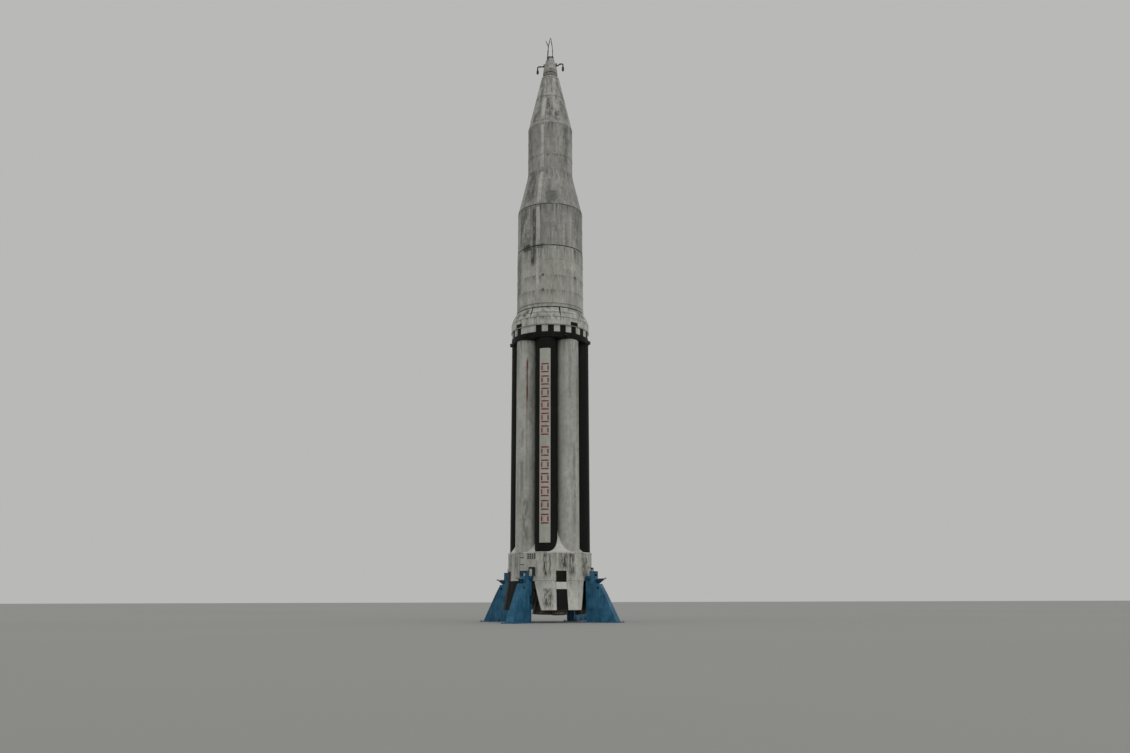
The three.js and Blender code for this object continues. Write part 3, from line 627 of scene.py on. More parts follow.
def build_light(side, sign, arm_z, rise, reach, lamp):
    """A bent arm from the nose cap, with a guarded red lamp hanging at its end."""
    low, high = lamp
    wall = 0.53
    end_z = arm_z + rise
    light = Shape("dark_steel")
    route = [(wall, arm_z), (0.7, arm_z), (0.85, end_z), (reach - 0.06, end_z), (reach, end_z - 0.1),
             (reach, high + 0.02)]
    light.tube(smooth_path([(sign * x, 0, z) for x, z in route]), 0.055)
    flange = [(wall - 0.03, 0.1), (wall + 0.02, 0.1), (0.63, 0.085), (0.66, 0.06)]
    light.tube([(sign * x, 0, arm_z) for x, _ in flange], [r for _, r in flange], 16)
    light.tube([(sign * (wall - 0.06), 0, arm_z + 0.16), (sign * (wall + 0.08), 0, arm_z + 0.2)], 0.045)
    light.tube([(sign * 0.87, 0, end_z), (sign * 0.95, 0, end_z)], 0.07, 16)
    hung_lamp = Shape("dark_steel").lathe([
        (0, high - 0.09), (0.08, high - 0.09), (0.09, high - 0.06), (0.09, high), (0.06, high + 0.05),
        (0, high + 0.05)], segments=24)
    hung_lamp.lathe([
        (0, low), (0.04, low + 0.005), (0.075, low + 0.05), (0.085, low + 0.1), (0.085, high - 0.09),
        (0, high - 0.09)], "red_glass", 24)
    guard = [(0.1, 0, high - 0.05), (0.1, 0, low + 0.08), (0.05, 0, low - 0.01)]
    for i in range(6):
        hung_lamp.tube(guard, 0.01, 6, matrix=Matrix.Rotation(math.radians(60 * i), 4, "Z"))
    light.join(hung_lamp, Matrix.Translation((sign * reach, 0, 0)))
    light.build("lamp_" + side, "obstruction_light_" + side, slot="red_lamp_paint")


# Upper stages

TUNNEL = {"azimuth": -13.8, "half_width": 0.17, "proud": 0.09, "ramp": 0.12, "clip_pitch": 0.9}
HATCHES = [(-5, 28.0), (55, 28.0), (-5, 26.7), (128, 28.0), (190, 28.0)]

# Stages of one slope: piece, node, ends as (radius, height), bands, the tunnel's ends, segments
PLAIN_STAGES = [
    ("third_stage_skin", "third_stage", (THIRD_STAGE_R, THIRD_STAGE), (THIRD_STAGE_R, NOSE_CONE),
     [37.92, 39.27, 40.9, 42.22], (38.05, 42.05), 128),
    ("adapter_skin", "adapter_cone", (SECOND_STAGE_UPPER_R, ADAPTER), (THIRD_STAGE_R, THIRD_STAGE),
     [34.4, 37.72], (34.53, 37.6), 128),
    ("second_stage_upper_skin", "second_stage_upper", (SECOND_STAGE_UPPER_R, SECOND_STAGE_STEP),
     (SECOND_STAGE_UPPER_R, ADAPTER), [32.6, 34.18], (30.65, 34.08), 160),
]


def cable_tunnel(shape, low, high, foot, top):
    """A shallow covered channel up a stage's side, which runs from foot to top as (radius, height), with
    sloping ends and a clip at each pitch."""
    turn = outward(TUNNEL["azimuth"])
    w, h, ramp, pitch = TUNNEL["half_width"], TUNNEL["proud"], TUNNEL["ramp"], TUNNEL["clip_pitch"]

    def radius(z):
        return foot[0] + (top[0] - foot[0]) * (z - foot[1]) / (top[1] - foot[1])

    section = [(-w, -0.03), (-w, 0.45 * h), (-w + 0.05, h), (w - 0.05, h), (w, 0.45 * h), (w, -0.03)]
    levels = [(low, 0.25), (low + ramp, 1), (high - ramp, 1), (high, 0.25)]
    # The channel and its clips are in the paler tunnel paint: painted highlight for the lit edge
    shape.loft([[(radius(z) + (d * lift if d > 0 else d), y, z) for y, d in section] for z, lift in levels],
               "pale_tunnel", turn)
    for k in range(int((high - low) / pitch)):
        z = low + pitch * (k + 0.5)
        shape.box((radius(z) + h - 0.01, -w - 0.015, z - 0.03), (radius(z) + h + 0.012, w + 0.015, z + 0.03),
                  "pale_tunnel", turn)


def build_upper_stages():
    for piece, node, foot, top, bands, tunnel, segments in PLAIN_STAGES:
        side = banded([(0, foot[1]), foot, top, (0, top[1])], bands)
        stage = Shape("upper_stages").lathe(side, segments=segments)
        cable_tunnel(stage, *tunnel, foot, top)
        if node == "third_stage":
            stage.curved_plate(9, 40.0, 40.7, THIRD_STAGE_R, 0.012, matrix=outward(38))
        stage.build(piece, node, slot="weathered_grey_paint")

    r, foot, top = SECOND_STAGE_R, SECOND_STAGE, SECOND_STAGE_STEP
    trim, groove = r + 0.025, r - 0.03
    lower = Shape("lower_stage").lathe(banded([
        (0, foot), (trim, foot), (trim, foot + 0.16), (r, foot + 0.16), (r, top - 0.09),
        (groove, top - 0.085), (groove, top), (0, top),
    ], [26.7, 28.0, 29.4]), segments=160)
    cable_tunnel(lower, 25.55, 30.4, (r, foot), (r, top))
    for azimuth, z in HATCHES:
        lower.curved_plate(1.9, z - 0.11, z + 0.11, r, 0.02, "steel", outward(azimuth), 4)
    lower.build("second_stage_lower_skin", "second_stage_lower", slot="weathered_grey_paint")


# Interstage

CHECKER_BLOCK = 9.0
CHECKER_PHASE = -0.7
PAINTED_OUT = -3
PETAL_SLOT_HALF = 1.3
PETAL_WALL = 0.06
GUY_LUG = [(3.17, 22.6), (3.38, 22.6), (3.42, 22.66), (3.42, 22.84), (3.38, 22.9), (3.17, 22.9)]


def checker(azimuth, stretch):
    turned = azimuth if azimuth < 180 else azimuth - 360
    block = math.floor((turned - CHECKER_PHASE + CHECKER_BLOCK / 2) / CHECKER_BLOCK)
    return "white_fairing" if block % 2 == 0 or block == PAINTED_OUT else "black_paint"


def build_interstage():
    fairing = Shape("white_fairing")
    outline = [(FAIRING_R, CHECKER_TOP), (FAIRING_R, BAND_TOP), (3.13, PETAL_FOLD), (2.86, PETAL_TOP)]
    outline += [(r - PETAL_WALL, z) for r, z in reversed(outline)]
    halves = [22.5 - (PETAL_SLOT_HALF if z > BAND_TOP else 0.15) for _, z in outline]
    shares = [k / 10 for k in range(-10, 11)]
    for centre in TANK_AZIMUTHS:
        fairing.loft([[polar(r, centre + share * half, z) for (r, z), half in zip(outline, halves)]
                      for share in shares])
    # A near-black body inside the petals, seen through their slots: painted shade for the hollow inside
    fairing.lathe([(0, CHECKER_TOP), (CHECKER_R, CHECKER_TOP), (CHECKER_R, BAND_TOP), (3.0, PETAL_FOLD),
                   (2.72, PETAL_TOP), (2.7, SECOND_STAGE), (0, SECOND_STAGE)], "dark_void")
    for azimuth in (45, 135, 225, 315):
        fairing.curved_plate(6.5, CHECKER_TOP + 0.005, 23.93, FAIRING_R - 0.01, 0.014, "black_paint",
                             outward(azimuth))
    fairing.lathe([(r, CHECKER_TOP + z) for r, z in (
        (3.2, -0.03), (FAIRING_R + 0.012, -0.03), (FAIRING_R + 0.012, 0.01), (3.2, 0.01))], segments=160)
    fairing.build("petal_fairing", "interstage_fairing")

    ring = Shape("white_fairing").lathe(
        [(0, RING_TOP), (CHECKER_R, RING_TOP), (CHECKER_R, CHECKER_TOP), (0, CHECKER_TOP)], checker, 720)
    ring.build("checkered_band", "checker_ring")

    cap = Shape("black_paint").lathe([
        (0, TANK_TOP), (3.1, TANK_TOP), (RING_R, TANK_TOP + 0.06), (RING_R, 22.72), (RING_R + 0.015, 22.73),
        (RING_R + 0.015, 22.79), (RING_R, 22.8), (RING_R, RING_TOP), (0, RING_TOP),
    ], segments=160)
    for azimuth in GUY_AZIMUTHS:
        turn = outward(azimuth)
        cap.prism(GUY_LUG, -0.03, 0.03, matrix=turn)
        for y in (-0.06, 0.06):
            cap.tube([(3.33, y, 22.75), (3.33, y * 0.5, 22.75)], 0.045, 16, "galvanised", turn)
        cap.box((3.2, -0.16, 22.56), (3.26, 0.16, 22.94), matrix=turn)
    cap.build("tank_top_ring", "tank_ring", slot="black_paint")


# Tanks

WELD_PITCH = 1.55
STRIPE = {"low": 6.04, "high": 21.59, "half_width": 0.43}
MARKS = {"height": 0.78, "half": 0.31, "stroke": 0.12}
MARK_FEET = [19.56 - 1.02 * k for k in range(6)] + [12.78 - 1.06 * k for k in range(6)]


def box_mark(tank, z, place):
    """One painted mark of the stripe: the four sides of a box, open at its corners."""
    r, height, stroke = TANK_R + 0.003, MARKS["height"], MARKS["stroke"]
    half = math.degrees(MARKS["half"] / TANK_R)
    thick = PROUD + 0.006
    for foot in (z, z + height - stroke):
        tank.curved_plate(half, foot, foot + stroke, r, thick, "red_paint", place)
    for side in (-1, 1):
        post = place @ Matrix.Rotation(math.radians(side * 0.8 * half), 4, "Z")
        tank.curved_plate(0.2 * half, z + 0.2, z + height - 0.2, r, thick, "red_paint", post, 3)


def tank_profile(radius):
    plain = [(0, BARREL_TOP), (radius, BARREL_TOP), (radius, TANK_TOP), (0, TANK_TOP)]
    welds = [BARREL_TOP + 0.12, TANK_TOP - 0.12]
    welds += [BARREL_TOP + 0.9 + WELD_PITCH * i for i in range(11)]
    return banded(plain, welds, proud=0.006, half=0.02)


def build_tanks():
    Shape("white_tank").lathe(tank_profile(CENTRE_TANK_R), segments=96).build("core_tank_skin", "centre_tank")
    for i, azimuth in enumerate(TANK_AZIMUTHS):
        kind, paint, slot = (("oxidiser", "white_tank", "white_paint") if i % 2
                             else ("fuel", "black_paint", "black_paint"))
        place = outward(azimuth) @ Matrix.Translation((TANK_PITCH_R, 0, 0))
        tank = Shape(paint).lathe(tank_profile(TANK_R), segments=96, matrix=place)
        if azimuth in (0, 180):
            half = math.degrees(math.asin(STRIPE["half_width"] / TANK_R))
            tank.curved_plate(half, STRIPE["low"], STRIPE["high"], TANK_R + 0.002, PROUD + 0.004,
                              "stripe_white", place, 20)
            for foot in MARK_FEET:
                box_mark(tank, foot, place)
        name = "%s_tank_%d" % (kind, i // 2 + 1)
        tank.build(name + "_skin", name, slot=slot)


# Tail barrel, with a witch's hat of sheet metal in each gap between the tanks

PAD = {"reach": 3.6, "foot": 3.5, "top": 4.15, "near": 0.2, "far": 0.56}
HATS = [
    {"azimuths": CORNER_AZIMUTHS, "foot": 3.223, "slope": 1.75},
    {"azimuths": TOWER_AZIMUTHS, "foot": 2.95, "slope": 1.25},
]
BARREL_INNER = 3.25
SKIN_R = BARREL_R - 0.015
LOUVRE_AZIMUTH = -18.1
VENT_AZIMUTH = -33.8
VENT_HEIGHTS = (4.89, 4.36)
HATCH_AZIMUTHS = (70, 160, 250)


def tank_edge_offset(r):
    """The angle from a tank's azimuth at which its outer side is r from the rocket's axis."""
    cosine = (r * r + TANK_PITCH_R ** 2 - TANK_R ** 2) / (2 * r * TANK_PITCH_R)
    return math.degrees(math.acos(min(cosine, 1.0)))


def hat(shape, azimuth, foot, slope):
    """Sheet metal that rises between two tanks, from the barrel's rim to the gap's throat."""
    reach = 22.5 - tank_edge_offset(foot)
    throat = TANK_PITCH_R * math.cos(math.radians(22.5))
    height = slope * (foot - throat)
    steps, rises = 32, 10

    def edge(offset):
        phi = math.radians(22.5 - abs(offset))
        inside = TANK_R ** 2 - (TANK_PITCH_R * math.sin(phi)) ** 2
        return TANK_PITCH_R * math.cos(phi) + math.sqrt(inside) if inside > 0 else throat

    sections = []
    for i in range(steps + 1):
        share = 2 * i / steps - 1
        offset = reach * math.copysign(abs(share) ** 1.6, share)
        inner = min(edge(offset) + 0.004, foot)
        column = [foot + (inner - foot) * k / rises for k in range(rises + 1)]
        side = [(r, height * ((foot - r) / (foot - throat)) ** 1.35) for r in column]
        side += [(inner, -0.02), (foot, -0.02)]
        sections.append([polar(r, azimuth + offset, BARREL_TOP + rise) for r, rise in side])
    shape.loft(sections, "bright_white")


def brim(azimuth, stretch):
    """White on the rim below each hat, and the barrel's old paint elsewhere."""
    off_corner, off_tower = abs(azimuth % 90 - 22.5), abs(azimuth % 90 - 67.5)
    on_rim = stretch in (5, 6) and (off_corner < 19.5 or off_tower < 9)
    return "bright_white" if on_rim else "white_tail"


def strapped_pad():
    """A pad for a tower's seat, with a dark strap over it and down both sides of its outer face."""
    wall = 3.28
    reach, foot, top, near, far = (PAD[key] for key in ("reach", "foot", "top", "near", "far"))
    left, right = near - 0.015, far + 0.015
    pad = Shape("dark_steel")
    pad.box((wall, near, foot), (reach, far, top), "bright_white")
    pad.box((wall, left, top - 0.01), (reach + 0.04, right, top + 0.03))
    pad.box((reach - 0.01, left, top - 0.1), (reach + 0.04, right, top + 0.02))
    pad.box((reach - 0.01, far - 0.07, foot + 0.01), (reach + 0.03, right, top))
    pad.box((reach - 0.01, left, foot + 0.3), (reach + 0.03, near + 0.045, top))
    pad.box((wall, far, foot + 0.01), (reach, right, top))
    for y in (near + 0.09, near + 0.2, near + 0.31):
        pad.tube([(reach + 0.03, y, top - 0.05), (reach + 0.055, y, top - 0.05)], 0.022, 6, "galvanised")
    return pad


def build_tail_barrel():
    barrel = Shape("white_tail")
    barrel.lathe([
        (0, BARREL_TOP - 0.12), (BARREL_INNER, BARREL_TOP - 0.12), (BARREL_INNER, BARREL_FOOT),
        (BARREL_R, BARREL_FOOT), (BARREL_R, 3.2), (SKIN_R, 3.22), (SKIN_R, BARREL_TOP - 0.1),
        (BARREL_R, BARREL_TOP - 0.09), (BARREL_R, BARREL_TOP), (0, BARREL_TOP),
    ], brim, 240)
    for row in HATS:
        for azimuth in row["azimuths"]:
            hat(barrel, azimuth, row["foot"], row["slope"])
    # Louvre: a raised frame with three rows of four openings, each a near-black plate of painted shade
    barrel.curved_plate(6.7, 4.77, 5.26, SKIN_R, 0.02, matrix=outward(LOUVRE_AZIMUTH))
    for i in range(4):
        cell = outward(LOUVRE_AZIMUTH + 3.2 * (i - 1.5))
        for j in range(3):
            foot = 4.815 + 0.145 * j
            barrel.curved_plate(1.2, foot, foot + 0.1, SKIN_R + 0.014, 0.01, "dark_void", cell, 2)
    vent = outward(VENT_AZIMUTH)
    # Vents: at each height a near-black slot of painted shade under a lip
    for z in VENT_HEIGHTS:
        barrel.curved_plate(3.2, z, z + 0.05, SKIN_R, 0.012, "dark_void", vent, 4)
        barrel.curved_plate(3.4, z + 0.05, z + 0.09, SKIN_R, 0.045, None, vent, 4)
    for azimuth in HATCH_AZIMUTHS:
        barrel.curved_plate(5, 4.3, 4.95, SKIN_R, 0.018, matrix=outward(azimuth))
        barrel.curved_plate(1.2, 4.55, 4.65, SKIN_R + 0.018, 0.012, "steel", outward(azimuth - 3.4), 2)
    for azimuth in TANK_AZIMUTHS:
        for side in (-1, 1):
            barrel.curved_plate(0.35, 3.24, 5.24, SKIN_R, 0.008, None, outward(azimuth + 11.25 * side), 1)
    pad = strapped_pad()
    for azimuth in TOWER_AZIMUTHS:
        barrel.join(pad, outward(azimuth))
    barrel.build("tail_barrel_skin", "tail_barrel")


# Engines, built round the gimbal centre with +X outwards

GIMBAL_Z = 3.04
ENGINE_LENGTH = 2.45
OUTBOARD = {"radius": 2.413, "cant": 6}
INBOARD = {"radius": 0.813, "cant": 3}
BELL = {"throat_z": -0.96, "throat_r": 0.212, "mouth_r": 0.6, "wall": 0.028, "steps": 14}
BELL_BANDS = (4, 7, 10, 13)
CHAMBER = [(0, -0.15), (0.19, -0.15), (0.2, -0.2), (0.27, -0.26), (0.285, -0.3), (0.285, -0.36), (0.27, -0.4),
           (0.27, -0.7), (0.235, -0.86)]
PUMP = {"x": 0.4, "z": -0.56}

# Pipes on the pump's side: route, radius, sides, paint
PIPES = [
    ([(0.4, 0.2, -0.5), (0.4, 0.26, -0.36), (0.3, 0.24, -0.27), (0.1, 0.1, -0.24)], 0.06, 14, "steel"),
    ([(0.4, -0.2, -0.5), (0.4, -0.27, -0.4), (0.28, -0.26, -0.3), (0.12, -0.12, -0.22)], 0.05, 14, "steel"),
    ([(0.4, 0.12, -0.62), (0.44, 0.12, -1), (0.52, 0.11, -1.5), (0.61, 0.1, -2.05)], 0.06, 16, "bell_steel"),
    ([(0.36, -0.18, -0.66), (0.3, -0.2, -0.9), (0.24, -0.12, -1.02)], 0.03, 10, "steel"),
]
STRUT_AZIMUTHS = (100, 260)
YOKE = {"arm": 0.04, "inner": 0.086, "half": 0.048, "plate": 0.13}


def hung(place, azimuth):
    """From round the gimbal centre to the engine's place, canted outwards at the bottom."""
    cant = Matrix.Rotation(-math.radians(place["cant"]), 4, "Y")
    return outward(azimuth) @ Matrix.Translation((place["radius"], 0, GIMBAL_Z)) @ cant


def bell_side():
    """The bell's outer side from the throat to the mouth, as [radius, height] points."""
    r, z, spread = BELL["throat_r"], BELL["throat_z"], BELL["mouth_r"] - BELL["throat_r"]
    shares = [i / BELL["steps"] for i in range(BELL["steps"] + 1)]
    return [(r + spread * (1 - (1 - s) ** 1.55), z - (ENGINE_LENGTH + z) * s) for s in shares]


def build_engine(side):
    """One engine, with its pump on the side given by a sign."""
    engine = Shape("steel")
    outer = bell_side()
    ribbed = []
    for i, (r, z) in enumerate(outer):
        ribbed.append((r, z))
        if i in BELL_BANDS:
            ribbed += [(r + 0.016, z - 0.004), (r + 0.018, z - 0.045), (r + 0.012, z - 0.05)]
    inner = [(r - BELL["wall"], z) for r, z in reversed(outer)]
    engine.lathe(CHAMBER + ribbed + inner + [(0, -0.93)], "bell_steel", 72)
    # Turbopump, gearbox and gas generator beside the chamber
    x, z = side * PUMP["x"], PUMP["z"]
    engine.tube([(x, y, z) for y in (-0.26, -0.24, 0.24, 0.26)], [0.1, 0.15, 0.15, 0.1], 24)
    engine.tube([(x, -0.05, z), (x, 0.05, z)], 0.185, 24)
    engine.box((side * 0.22, -0.09, z - 0.1), (x, 0.09, z + 0.1))
    for route, radius, sides, paint in PIPES:
        engine.tube(smooth_path([(side * x, y, z) for x, y, z in route]), radius, sides, paint)
    for azimuth in STRUT_AZIMUTHS:
        a = math.radians(azimuth)
        strut = [(r * math.cos(a), r * math.sin(a), z) for r, z in ((0.2, -0.19), (0.33, -0.5), (0.3, -1.05))]
        engine.tube(smooth_path(strut), 0.022, 10)
    return engine


def yoke(shape, along_x, sign, matrix):
    """A plate and two arms with rounded ends, round the pins of the gimbal's cross."""
    half, outer = YOKE["half"], YOKE["inner"] + YOKE["arm"]
    near, far = sign * YOKE["plate"], sign * (YOKE["plate"] + YOKE["arm"])
    shape.box((-outer, -outer, near), (outer, outer, far), "steel", matrix)
    turns = [math.pi * k / 8 for k in range(9)]
    round_end = [(-half * math.cos(a), -sign * half * math.sin(a)) for a in turns]
    outline = [(-half, near), *round_end, (half, near)]
    turn = matrix @ Matrix.Rotation(math.pi / 2, 4, "Z") if along_x else matrix
    for side in (-1, 1):
        shape.prism(outline, side * YOKE["inner"], side * outer, "steel", turn)


def build_engines():
    for number, azimuth in enumerate(CORNER_AZIMUTHS, 1):
        place = hung(OUTBOARD, azimuth)
        engine = build_engine(-1)
        yoke(engine, True, -1, Matrix())
        name = "outboard_engine_%d" % number
        Shape("steel").join(engine, place).build(name + "_detail", name, body=name, slot="engine_steel")
        cross = Shape("galvanised")
        cross.box((-0.06,) * 3, (0.06,) * 3, matrix=place)
        for x, y in ((1, 0), (0, 1)):
            pin = [(d * x, d * y, 0) for d in (-0.13, -0.126, 0.126, 0.13)]
            cross.tube(pin, [0.02, 0.028, 0.028, 0.02], 20, matrix=place)
        name = "gimbal_cross_%d" % number
        cross.build(name + "_detail", name, body=name, slot="engine_steel", bevel=0.006)
    post = [(0, 2.8), (0.1, 2.8), (0.12, 2.86), (0.12, 3.36), (0.19, 3.4), (0.19, FIREWALL), (0, FIREWALL)]
    for number, azimuth in enumerate(TOWER_AZIMUTHS, 1):
        engine = Shape("steel").join(build_engine(1), hung(INBOARD, azimuth))
        engine.lathe(post, None, 32, outward(azimuth) @ Matrix.Translation((INBOARD["radius"], 0, 0)))
        name = "inboard_engine_%d" % number
        engine.build(name + "_detail", name, slot="engine_steel")


def build_firewall():
    plate = Shape("steel")
    # A disc and two stiffening rings under it: inner and outer radius, foot and top
    for inner, outer, foot, top in ((0, 3.248, 0, 0.15), (1.55, 1.65, -0.05, 0), (3.05, 3.15, -0.05, 0)):
        foot, top = FIREWALL + foot, FIREWALL + top
        plate.lathe([(inner, foot), (outer, foot), (outer, top), (inner, top)], segments=96)
    for i in range(8):
        turn = Matrix.Rotation(math.radians(45 * i), 4, "Z")
        plate.box((0.3, -0.04, FIREWALL - 0.06), (3.2, 0.04, FIREWALL), matrix=turn)
    for azimuth in CORNER_AZIMUTHS:
        place = hung(OUTBOARD, azimuth)
        yoke(plate, False, 1, place)
        plate.box((-0.11, -0.11, 0.17), (0.11, 0.11, 0.47), matrix=place)
    plate.build("firewall_plate", "firewall", slot="engine_steel")


# Engine fairings: flared skirts below the barrel, with a raised, painted panel up the middle of each

SKIRT = {"foot": 0.95, "foot_r": 3.7, "foot_half": 25.5, "top_half": 36.0, "wall": 0.06, "web": 0.62}
PANEL_HALF = 7.0
PANELS = [
    (SKIRT["foot"] + 0.01, 2.52, "black_paint"), (2.52, 3.05, "bright_white"), (3.05, 3.9, "black_paint"),
]
RIB_HEIGHTS = (1.0, 2.0)


def skirt_at(z):
    """The skirt's radius and half angle at a height."""
    share = (z - SKIRT["foot"]) / (BARREL_FOOT - SKIRT["foot"])
    return (SKIRT["foot_r"] + (BARREL_R - SKIRT["foot_r"]) * share,
            SKIRT["foot_half"] + (SKIRT["top_half"] - SKIRT["foot_half"]) * share)


def skirt_section(z, steps=24):
    """One level of the skirt: a U of sheet metal, open towards the engine. Local +X is outwards."""
    (r, half), wall = skirt_at(z), SKIRT["wall"]
    web_r = r - SKIRT["web"]
    inside_half, web_half = half - math.degrees(wall / r), half - math.degrees(wall / web_r)
    shares = [2 * i / steps - 1 for i in range(steps + 1)]
    loop = [(web_r, -half), *((r, half * share) for share in shares), (web_r, half), (web_r, web_half),
            *((r - wall, -inside_half * share) for share in shares), (web_r, -web_half)]
    return [polar(at, 90 + angle, z) for at, angle in loop]


def build_skirts():
    levels = [SKIRT["foot"] + (BARREL_FOOT - SKIRT["foot"]) * k / 8 for k in range(9)]
    for number, azimuth in enumerate(CORNER_AZIMUTHS, 1):
        turn = outward(azimuth)
        dark = number in (2, 4)
        skirt = Shape("black_paint" if dark else "white_tail")
        skirt.loft([skirt_section(z) for z in levels], matrix=turn)
        for low, high, paint in PANELS:
            skirt.curved_plate(PANEL_HALF, low, high, lambda z: skirt_at(min(z, BARREL_FOOT))[0] - 0.01, 0.04,
                               None if dark else paint, turn, 6)
        for z in RIB_HEIGHTS:
            r, half = skirt_at(z)
            for side in (-1, 1):
                rib = turn @ Matrix.Rotation(math.radians(side * (half / 2 + 3)), 4, "Z")
                skirt.curved_plate(half / 2 - 7, z, z + 0.05, r - 0.01, 0.02, matrix=rib, steps=6)
        name = "engine_fairing_%d" % number
        skirt.build(name + "_skin", name, slot="white_paint")


# Stand towers, drawn towards +X: a leg of plate, a seat for a pad, a head block with a window, and a shelf

LEG_INNER = {"x": 3.4, "half": 0.31}
LEG_LEVELS = [(0.06, 6.05, 0.34), (2.0, 5.07, 0.27), (2.9, 4.56, 0.25), (2.97, 4.2, 0.25), (3.5, 4.15, 0.25)]
EYE = {"x": 4.42, "z": 2.62, "radius": 0.1}
HEAD = {"inner": 3.74, "outer": 4.13, "half": 0.29, "top": 3.87}
WINDOW = {"half": 0.205, "low": 3.46, "high": 3.69}
SEAT = {"half": 0.45, "low": 3.3, "high": 3.498}


def leg_outer(z):
    """The reach and the half width of the leg's outer edge at a height."""
    for (z0, x0, h0), (z1, x1, h1) in zip(LEG_LEVELS, LEG_LEVELS[1:]):
        if z <= z1:
            share = (z - z0) / (z1 - z0)
            return x0 + (x1 - x0) * share, h0 + (h1 - h0) * share
    return LEG_LEVELS[-1][1:]


def leg_side(x, z):
    """The half width of the leg at a point of its side."""
    outer, half = leg_outer(z)
    share = (x - LEG_INNER["x"]) / (outer - LEG_INNER["x"])
    return LEG_INNER["half"] + (half - LEG_INNER["half"]) * share


def side_strip(tower, start, end, width):
    """A flat bar on both sides of the leg, from one (x, z) point to another."""
    across = Vector((end[1] - start[1], start[0] - end[0])).normalized() * width / 2
    corners = [(x + sign * across.x, z + sign * across.y)
               for sign, (x, z) in ((1, start), (-1, start), (-1, end), (1, end))]
    for side in (-1, 1):
        tower.loft([[(x, side * (leg_side(x, z) + lift), z) for x, z in corners] for lift in (-0.012, 0.025)])


def tower_leg(tower):
    inner, inner_half = LEG_INNER["x"], LEG_INNER["half"]
    tower.loft([[(inner, -inner_half, z), (outer, -half, z), (outer, half, z), (inner, inner_half, z)]
                for z, outer, half in LEG_LEVELS])
    # Flat bars along the slanting edge and down the inner edge, and across the side at three heights
    for (z0, x0, _), (z1, x1, _) in zip(LEG_LEVELS[:2], LEG_LEVELS[1:3]):
        side_strip(tower, (x0 - 0.07, z0 + 0.02), (x1 - 0.07, z1), 0.1)
    side_strip(tower, (4.16, 3.0), (4.12, 3.3), 0.07)
    side_strip(tower, (3.46, 0.1), (3.46, 3.28), 0.1)
    for z in (1.0, 2.0, 2.93):
        side_strip(tower, (3.5, z), (leg_outer(z)[0] - 0.12, z), 0.07)
    for side in (-1, 1):
        for k in range(7):
            z = 0.35 + 0.4 * k
            for x in (3.46, leg_outer(z)[0] - 0.07):
                wall = side * (leg_side(x, z) + 0.02)
                tower.tube([(x, wall, z), (x, wall + side * 0.018, z)], 0.02, 6)
        # The eye: a raised ring round a near-black disc, painted shade for the hole
        x, z = EYE["x"], EYE["z"]
        wall = leg_side(x, z)
        for radius, lift, paint in ((EYE["radius"] + 0.035, 0.02, None), (EYE["radius"], 0.024, "dark_void")):
            tower.tube([(x, side * (wall - 0.05), z), (x, side * (wall + lift), z)], radius, 28, paint)


def tower_head(tower):
    inner, outer, half, top = HEAD["inner"], HEAD["outer"], HEAD["half"], HEAD["top"]
    seat, seat_top = SEAT["half"], SEAT["high"]
    tower.box((inner, -half, WINDOW["high"]), (outer, half, top))
    # The head's outer trim, top strip and lip and the seat's side plates are in the darker blue, as painted
    # shade
    for side in (-1, 1):
        tower.box((inner, side * WINDOW["half"], WINDOW["low"]), (outer, side * half, WINDOW["high"] + 0.01))
        tower.box((outer, 0.82 * side * half, 3.0), (outer + 0.025, side * half, top), "dark_blue")
        tower.box((3.402, 0.93 * side * seat, 3.2), (inner, side * seat, seat_top - 0.002), "dark_blue")
    tower.box((outer, -half, top - 0.1), (outer + 0.025, half, top + 0.01), "dark_blue")
    lip = half + 0.012
    tower.box((inner - 0.01, -lip, top - 0.012), (outer + 0.03, lip, top + 0.012), "dark_blue")
    tower.box((LEG_INNER["x"], -seat, SEAT["low"]), (inner + 0.01, seat, seat_top))
    # Narrow work shelf on a bracket; the bracket and rail in the darker blue of painted shade
    tower.box((4.1, -0.09, 3.27), (5.0, 0.09, 3.33), "pale_blue")
    tower.prism([(4.1, 3.275), (4.1, 2.95), (4.45, 2.95), (4.9, 3.275)], -0.03, 0.03, "dark_blue")
    rail = [(4.97, -0.07, 3.33), (4.97, -0.07, 3.39), (4.97, 0.07, 3.39), (4.97, 0.07, 3.33)]
    tower.tube(rail, 0.014, 8, "dark_blue")
    # Junction box on the inner edge of one side, in the darker blue of painted shade
    tower.box((3.42, 0.29, 1.45), (3.66, 0.4, 2.05), "dark_blue")
    tower.box((3.445, 0.395, 1.48), (3.635, 0.408, 2.02), "dark_blue")


def tower_base(tower):
    tower.box((3.3, -0.6, 0.0), (6.25, 0.6, 0.065))
    for x in (3.75, 4.6, 5.4):
        foot = leg_side(x, 0.06)
        gusset = [(foot - 0.03, 0.06), (foot + 0.12, 0.06), (leg_side(x, 0.5) - 0.02, 0.5)]
        for side in (-1, 1):
            tower.loft([[(at, side * y, z) for y, z in gusset] for at in (x - 0.02, x + 0.02)])
    for x in (3.42, 4.15, 4.98, 5.75, 6.15):
        for y in (-0.54, 0.54):
            tower.tube([(x, y, 0.06), (x, y, 0.1)], 0.045, 6, "galvanised")
            tower.tube([(x, y, 0.09), (x, y, 0.16)], 0.022, 10, "galvanised")


def build_towers():
    tower = Shape("blue_paint")
    tower_leg(tower)
    tower_head(tower)
    tower_base(tower)
    for number, azimuth in enumerate(TOWER_AZIMUTHS, 1):
        name = "stand_tower_%d" % number
        Shape("blue_paint").join(tower, outward(azimuth)).build(name + "_plates", name, slot="blue_paint")


# Stage

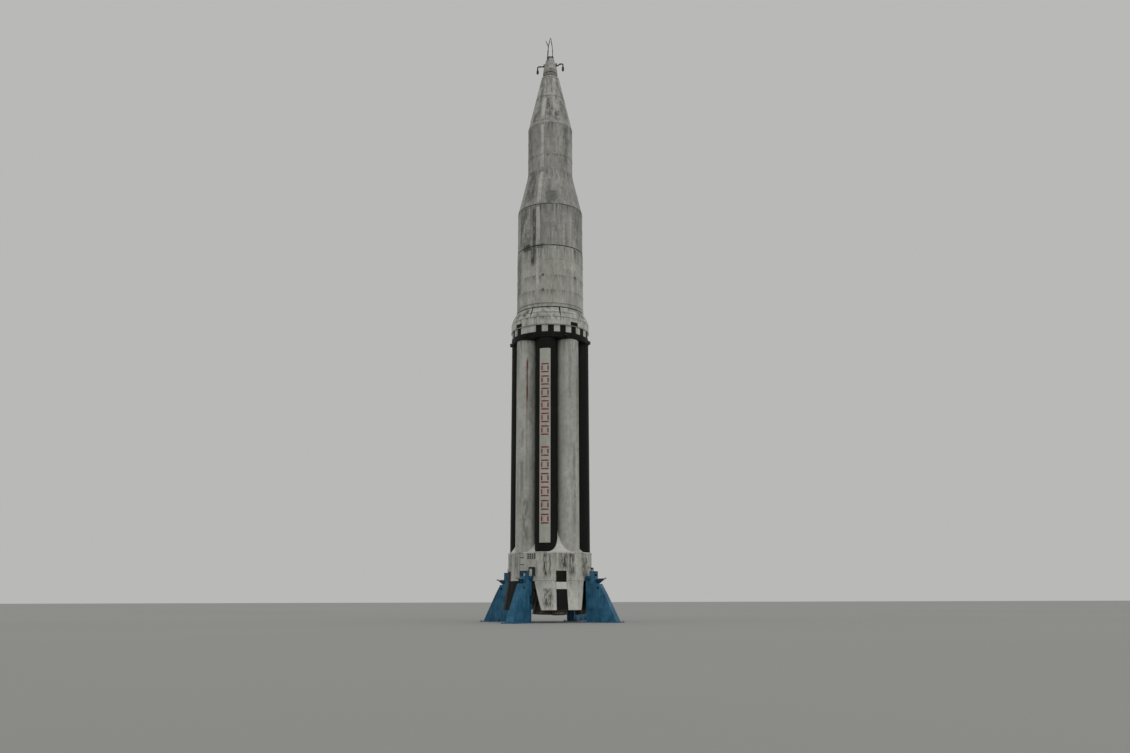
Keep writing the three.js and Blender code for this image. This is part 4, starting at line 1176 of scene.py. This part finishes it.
CAMERA_AZIMUTH = 7.3
CAMERA_DISTANCE = 79.2
EYE_HEIGHT = 1.6
CAMERA_TILT = 13.05
CAMERA_YAW = 0.905
CAMERA_ROLL = -0.165
FOCAL_PIXELS = 970
PHOTO_WIDTH = 1130
SENSOR_WIDTH = 36
FLOOR_HALF = 900


def build_stage():
    g = Graph("floor_grey")
    tone = g.noise((0.02, 0.02, 0.02), detail=3)
    g.finish(g.mix(tone, (0.4, 0.4, 0.385), (0.46, 0.46, 0.45)), 0.9)
    mesh = bpy.data.meshes.new("floor")
    corners = [(x * FLOOR_HALF, y * FLOOR_HALF, 0) for x, y in ((-1, -1), (1, -1), (1, 1), (-1, 1))]
    mesh.from_pydata(corners, [], [(0, 1, 2, 3)])
    mesh.materials.append(g.material)
    placed("floor", mesh)

    scene = bpy.context.scene
    scene.world = bpy.data.worlds.new("overcast")
    scene.world.use_nodes = True
    background = scene.world.node_tree.nodes["Background"]
    background.inputs["Color"].default_value = (1.0, 1.0, 0.98, 1)
    background.inputs["Strength"].default_value = 0.485
    scene.view_settings.view_transform = "Standard"

    sun = bpy.data.lights.new("soft_key", "SUN")
    sun.energy = 0.35
    sun.angle = math.radians(60)
    placed("soft_key", sun).rotation_euler = (math.radians(50), 0, math.radians(35))

    lens = bpy.data.cameras.new("camera")
    lens.sensor_width = SENSOR_WIDTH
    lens.lens = SENSOR_WIDTH * FOCAL_PIXELS / PHOTO_WIDTH
    lens.clip_end = 3000
    scene.camera = placed("camera", lens)
    a = math.radians(CAMERA_AZIMUTH)
    scene.camera.location = [SCALE * c for c in polar(CAMERA_DISTANCE, CAMERA_AZIMUTH, EYE_HEIGHT)]
    turn = Matrix.Rotation(a - math.radians(CAMERA_YAW), 4, "Z")
    tilt = Matrix.Rotation(math.radians(90 + CAMERA_TILT), 4, "X")
    roll = Matrix.Rotation(math.radians(CAMERA_ROLL), 4, "Z")
    scene.camera.rotation_euler = (turn @ tilt @ roll).to_euler()


build_stage()
build_nose()
build_upper_stages()
build_interstage()
build_tanks()
build_tail_barrel()
build_engines()
build_firewall()
build_skirts()
build_towers()
